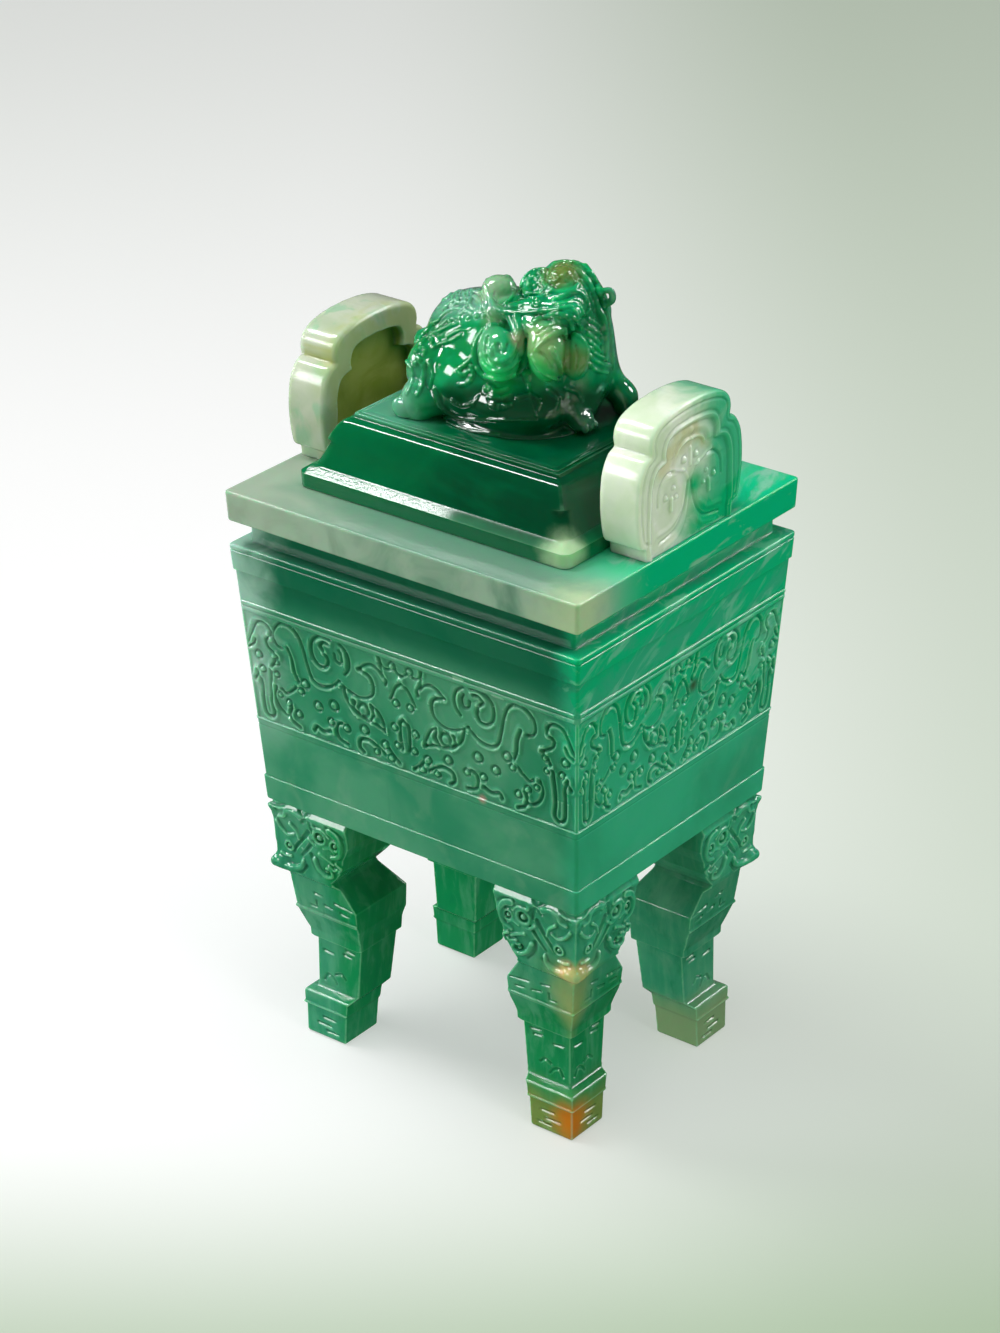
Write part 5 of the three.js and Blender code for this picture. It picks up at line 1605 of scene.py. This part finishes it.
# The place that the panels face, in metres
AIM = np.array([0, 0, 0.1])
# Name, direction from the object, distance and size in metres, brightness, whether it is
# mirrored, and which pieces alone it lights
PANELS = [
    ("key_panel", (-0.53, -0.20, 0.81), 0.95, (0.12, 0.36), 34, True, "all"),
    ("floor_panel", (-0.50, -0.15, 0.86), 0.95, (0.42, 0.42), 7.2, False, "floor"),
    ("side_panel", (0.39, 0.70, 0.59), 0.95, (0.36, 0.14), 15, True, "carved"),
    ("right_panel", (0.93, -0.20, 0.30), 0.95, (0.22, 0.40), 5.5, False, None),
    ("left_panel", (-0.95, -0.30, 0.10), 0.95, (0.25, 0.40), 8, False, "all"),
    ("fill_panel", (-0.40, -0.85, 0.30), 1.00, (0.80, 0.50), 1.3, False, None),
    ("front_glint", (-0.55, -0.74, 0.38), 0.95, (0.26, 0.14), 7, True, "vessel"),
    ("ornament_glint", (-0.55, -0.74, 0.38), 0.95, (0.30, 0.30), 9, True, "ornament"),
    ("left_glint", (-0.93, -0.31, 0.22), 0.95, (0.22, 0.22), 9, True, "carved"),
    ("right_glint", (0.66, 0.68, 0.30), 0.95, (0.24, 0.14), 11, True, "carved"),
    ("plaque_panel", (0.90, -0.35, 0.25), 0.95, (0.30, 0.40), 3.5, False, "plaque"),
    ("top_panel", (0.10, -0.10, 0.99), 1.10, (0.9, 0.9), 3.0, False, None),
]


def add_camera():
    right, up, back = view_axes(AZIMUTH, ELEVATION)
    centre = np.array([0, 0, LOOK_HEIGHT]) + LOOK_RIGHT * right + LOOK_UP * up
    place = centre + CAMERA_DISTANCE * back
    turned = Matrix((right, up, back)).transposed() @ Matrix.Rotation(ROLL, 3, "Z")
    data = bpy.data.cameras.new("camera")
    data.sensor_fit = "VERTICAL"
    data.sensor_height = SENSOR
    data.lens = FOCAL_PIXELS * SENSOR / PICTURE_HEIGHT
    data.clip_end = 100
    camera = bpy.data.objects.new("camera", data)
    camera.matrix_world = Matrix.Translation(Vector(place) * MM) @ turned.to_4x4()
    bpy.context.scene.collection.objects.link(camera)
    bpy.context.scene.camera = camera


def add_stage():
    """A pale floor that glows softly by itself, so that only faint shadows lie on it."""
    mesh = bpy.data.meshes.new("floor")
    corners = [(-FLOOR_REACH, -FLOOR_REACH, 0), (FLOOR_REACH, -FLOOR_REACH, 0),
               (FLOOR_REACH, FLOOR_REACH, 0), (-FLOOR_REACH, FLOOR_REACH, 0)]
    mesh.from_pydata(corners, [], [(0, 1, 2, 3)])
    floor = bpy.data.objects.new("floor", mesh)
    bpy.context.scene.collection.objects.link(floor)
    graph = Graph("floor_paper")
    # How far right of the object and how far behind it a place lies, as the photograph sees them
    sine, cosine = math.sin(AZIMUTH), math.cos(AZIMUTH)
    across = graph.add(graph.times(graph.x, cosine), graph.times(graph.y, sine))
    behind = graph.add(graph.times(graph.x, -sine), graph.times(graph.y, cosine))
    # Painted fall-off of the light: the floor turns from white to darker green away from the middle left
    white = None
    for value, low, high, share in ((across, -70, 150, FLOOR_RIGHT_FALLOFF), (behind, 130, 740, FLOOR_FAR_FALLOFF),
                                    (behind, -20, -150, FLOOR_NEAR_FALLOFF)):
        clear = graph.rest_of(graph.times(graph.ramp(value, low, high), share))
        white = graph.times(white, clear) if white else clear
    colour = graph.over(FLOOR_WHITE, FLOOR_GREEN, graph.rest_of(white))
    finish = {
        "Base Color": graph.over(colour, (0, 0, 0), 1 - FLOOR_DIFFUSE),
        "Emission Color": colour,
        "Emission Strength": FLOOR_GLOW,
        "Roughness": 0.7,
        "Specular IOR Level": 0.0,
    }
    for name, value in finish.items():
        graph.feed(graph.shader.inputs[name], value)
    mesh.materials.append(graph.material)
    floor.visible_glossy = False
    return floor


def add_world():
    """A studio with pale walls near the floor, a dim ceiling, and a ground that is dim below the
    object and brighter towards the horizon."""
    bpy.context.scene.view_settings.view_transform = "Standard"
    world = bpy.data.worlds.new("studio")
    bpy.context.scene.world = world
    world.use_nodes = True
    nodes = Nodes(world.node_tree)
    place = nodes.node("TexCoord", {}).outputs["Generated"]
    height = nodes.node("SeparateXYZ", {0: place}).outputs["Z"]
    ground = nodes.ramp(height, -0.38, -0.15, GROUND_GLOW, FAR_GROUND_GLOW)
    above = nodes.ramp(height, 0.1, 0.3, WALL_GLOW, CEILING_GLOW)
    share = nodes.ramp(height, -0.03, 0.0)
    glow = nodes.node("Mix", {"Factor": share, "A": ground, "B": above}).outputs["Result"]
    background = nodes.tree.nodes["Background"]
    background.inputs["Color"].default_value = WORLD_TINT
    nodes.feed(background.inputs["Strength"], glow)


def add_panel(name, out, distance, size, glow):
    """A soft panel that faces the object from a direction. Its power follows its size."""
    centre = AIM + distance * out
    data = bpy.data.lights.new(name, "AREA")
    data.shape = "RECTANGLE"
    data.size, data.size_y = size
    data.energy = glow * math.pi * size[0] * size[1]
    light = bpy.data.objects.new(name, data)
    light.location = tuple(centre)
    light.visible_camera = False
    turn = Vector(tuple(AIM)) - Vector(tuple(centre))
    light.rotation_euler = turn.to_track_quat("-Z", "Y").to_euler()
    bpy.context.scene.collection.objects.link(light)
    return light


def add_light(linked):
    """Lights the scene. linked names the groups of pieces that some panels light alone."""
    add_world()
    receivers = {}
    for group, pieces in linked.items():
        receivers[group] = bpy.data.collections.new(group)
        for piece in pieces:
            receivers[group].objects.link(piece)
    for name, direction, distance, size, glow, mirrored, group in PANELS:
        panel = add_panel(name, np.array(direction) / np.linalg.norm(direction), distance, size, glow)
        panel.visible_glossy = mirrored
        if group:
            panel.light_linking.receiver_collection = receivers[group]


vessel = vessel_piece(vessel_jade())
handles = [
    handle_piece("handle_cloud_right", "handle_right", 1, handle_jade("handle_jade_right", True)),
    handle_piece("handle_cloud_left", "handle_left", -1, handle_jade("handle_jade_left", False)),
]
cover = cover_piece(cover_jade())
legs = leg_pieces(leg_jade())
finial = finial_piece(finial_jade())
floor = add_stage()
add_light({
    "floor": [floor],
    "all": [vessel, cover, *handles, *legs, finial],
    "vessel": [vessel],
    "ornament": [*handles, *legs, finial],
    "carved": [vessel, *handles, *legs, finial],
    "plaque": handles[:1],
})
add_camera()
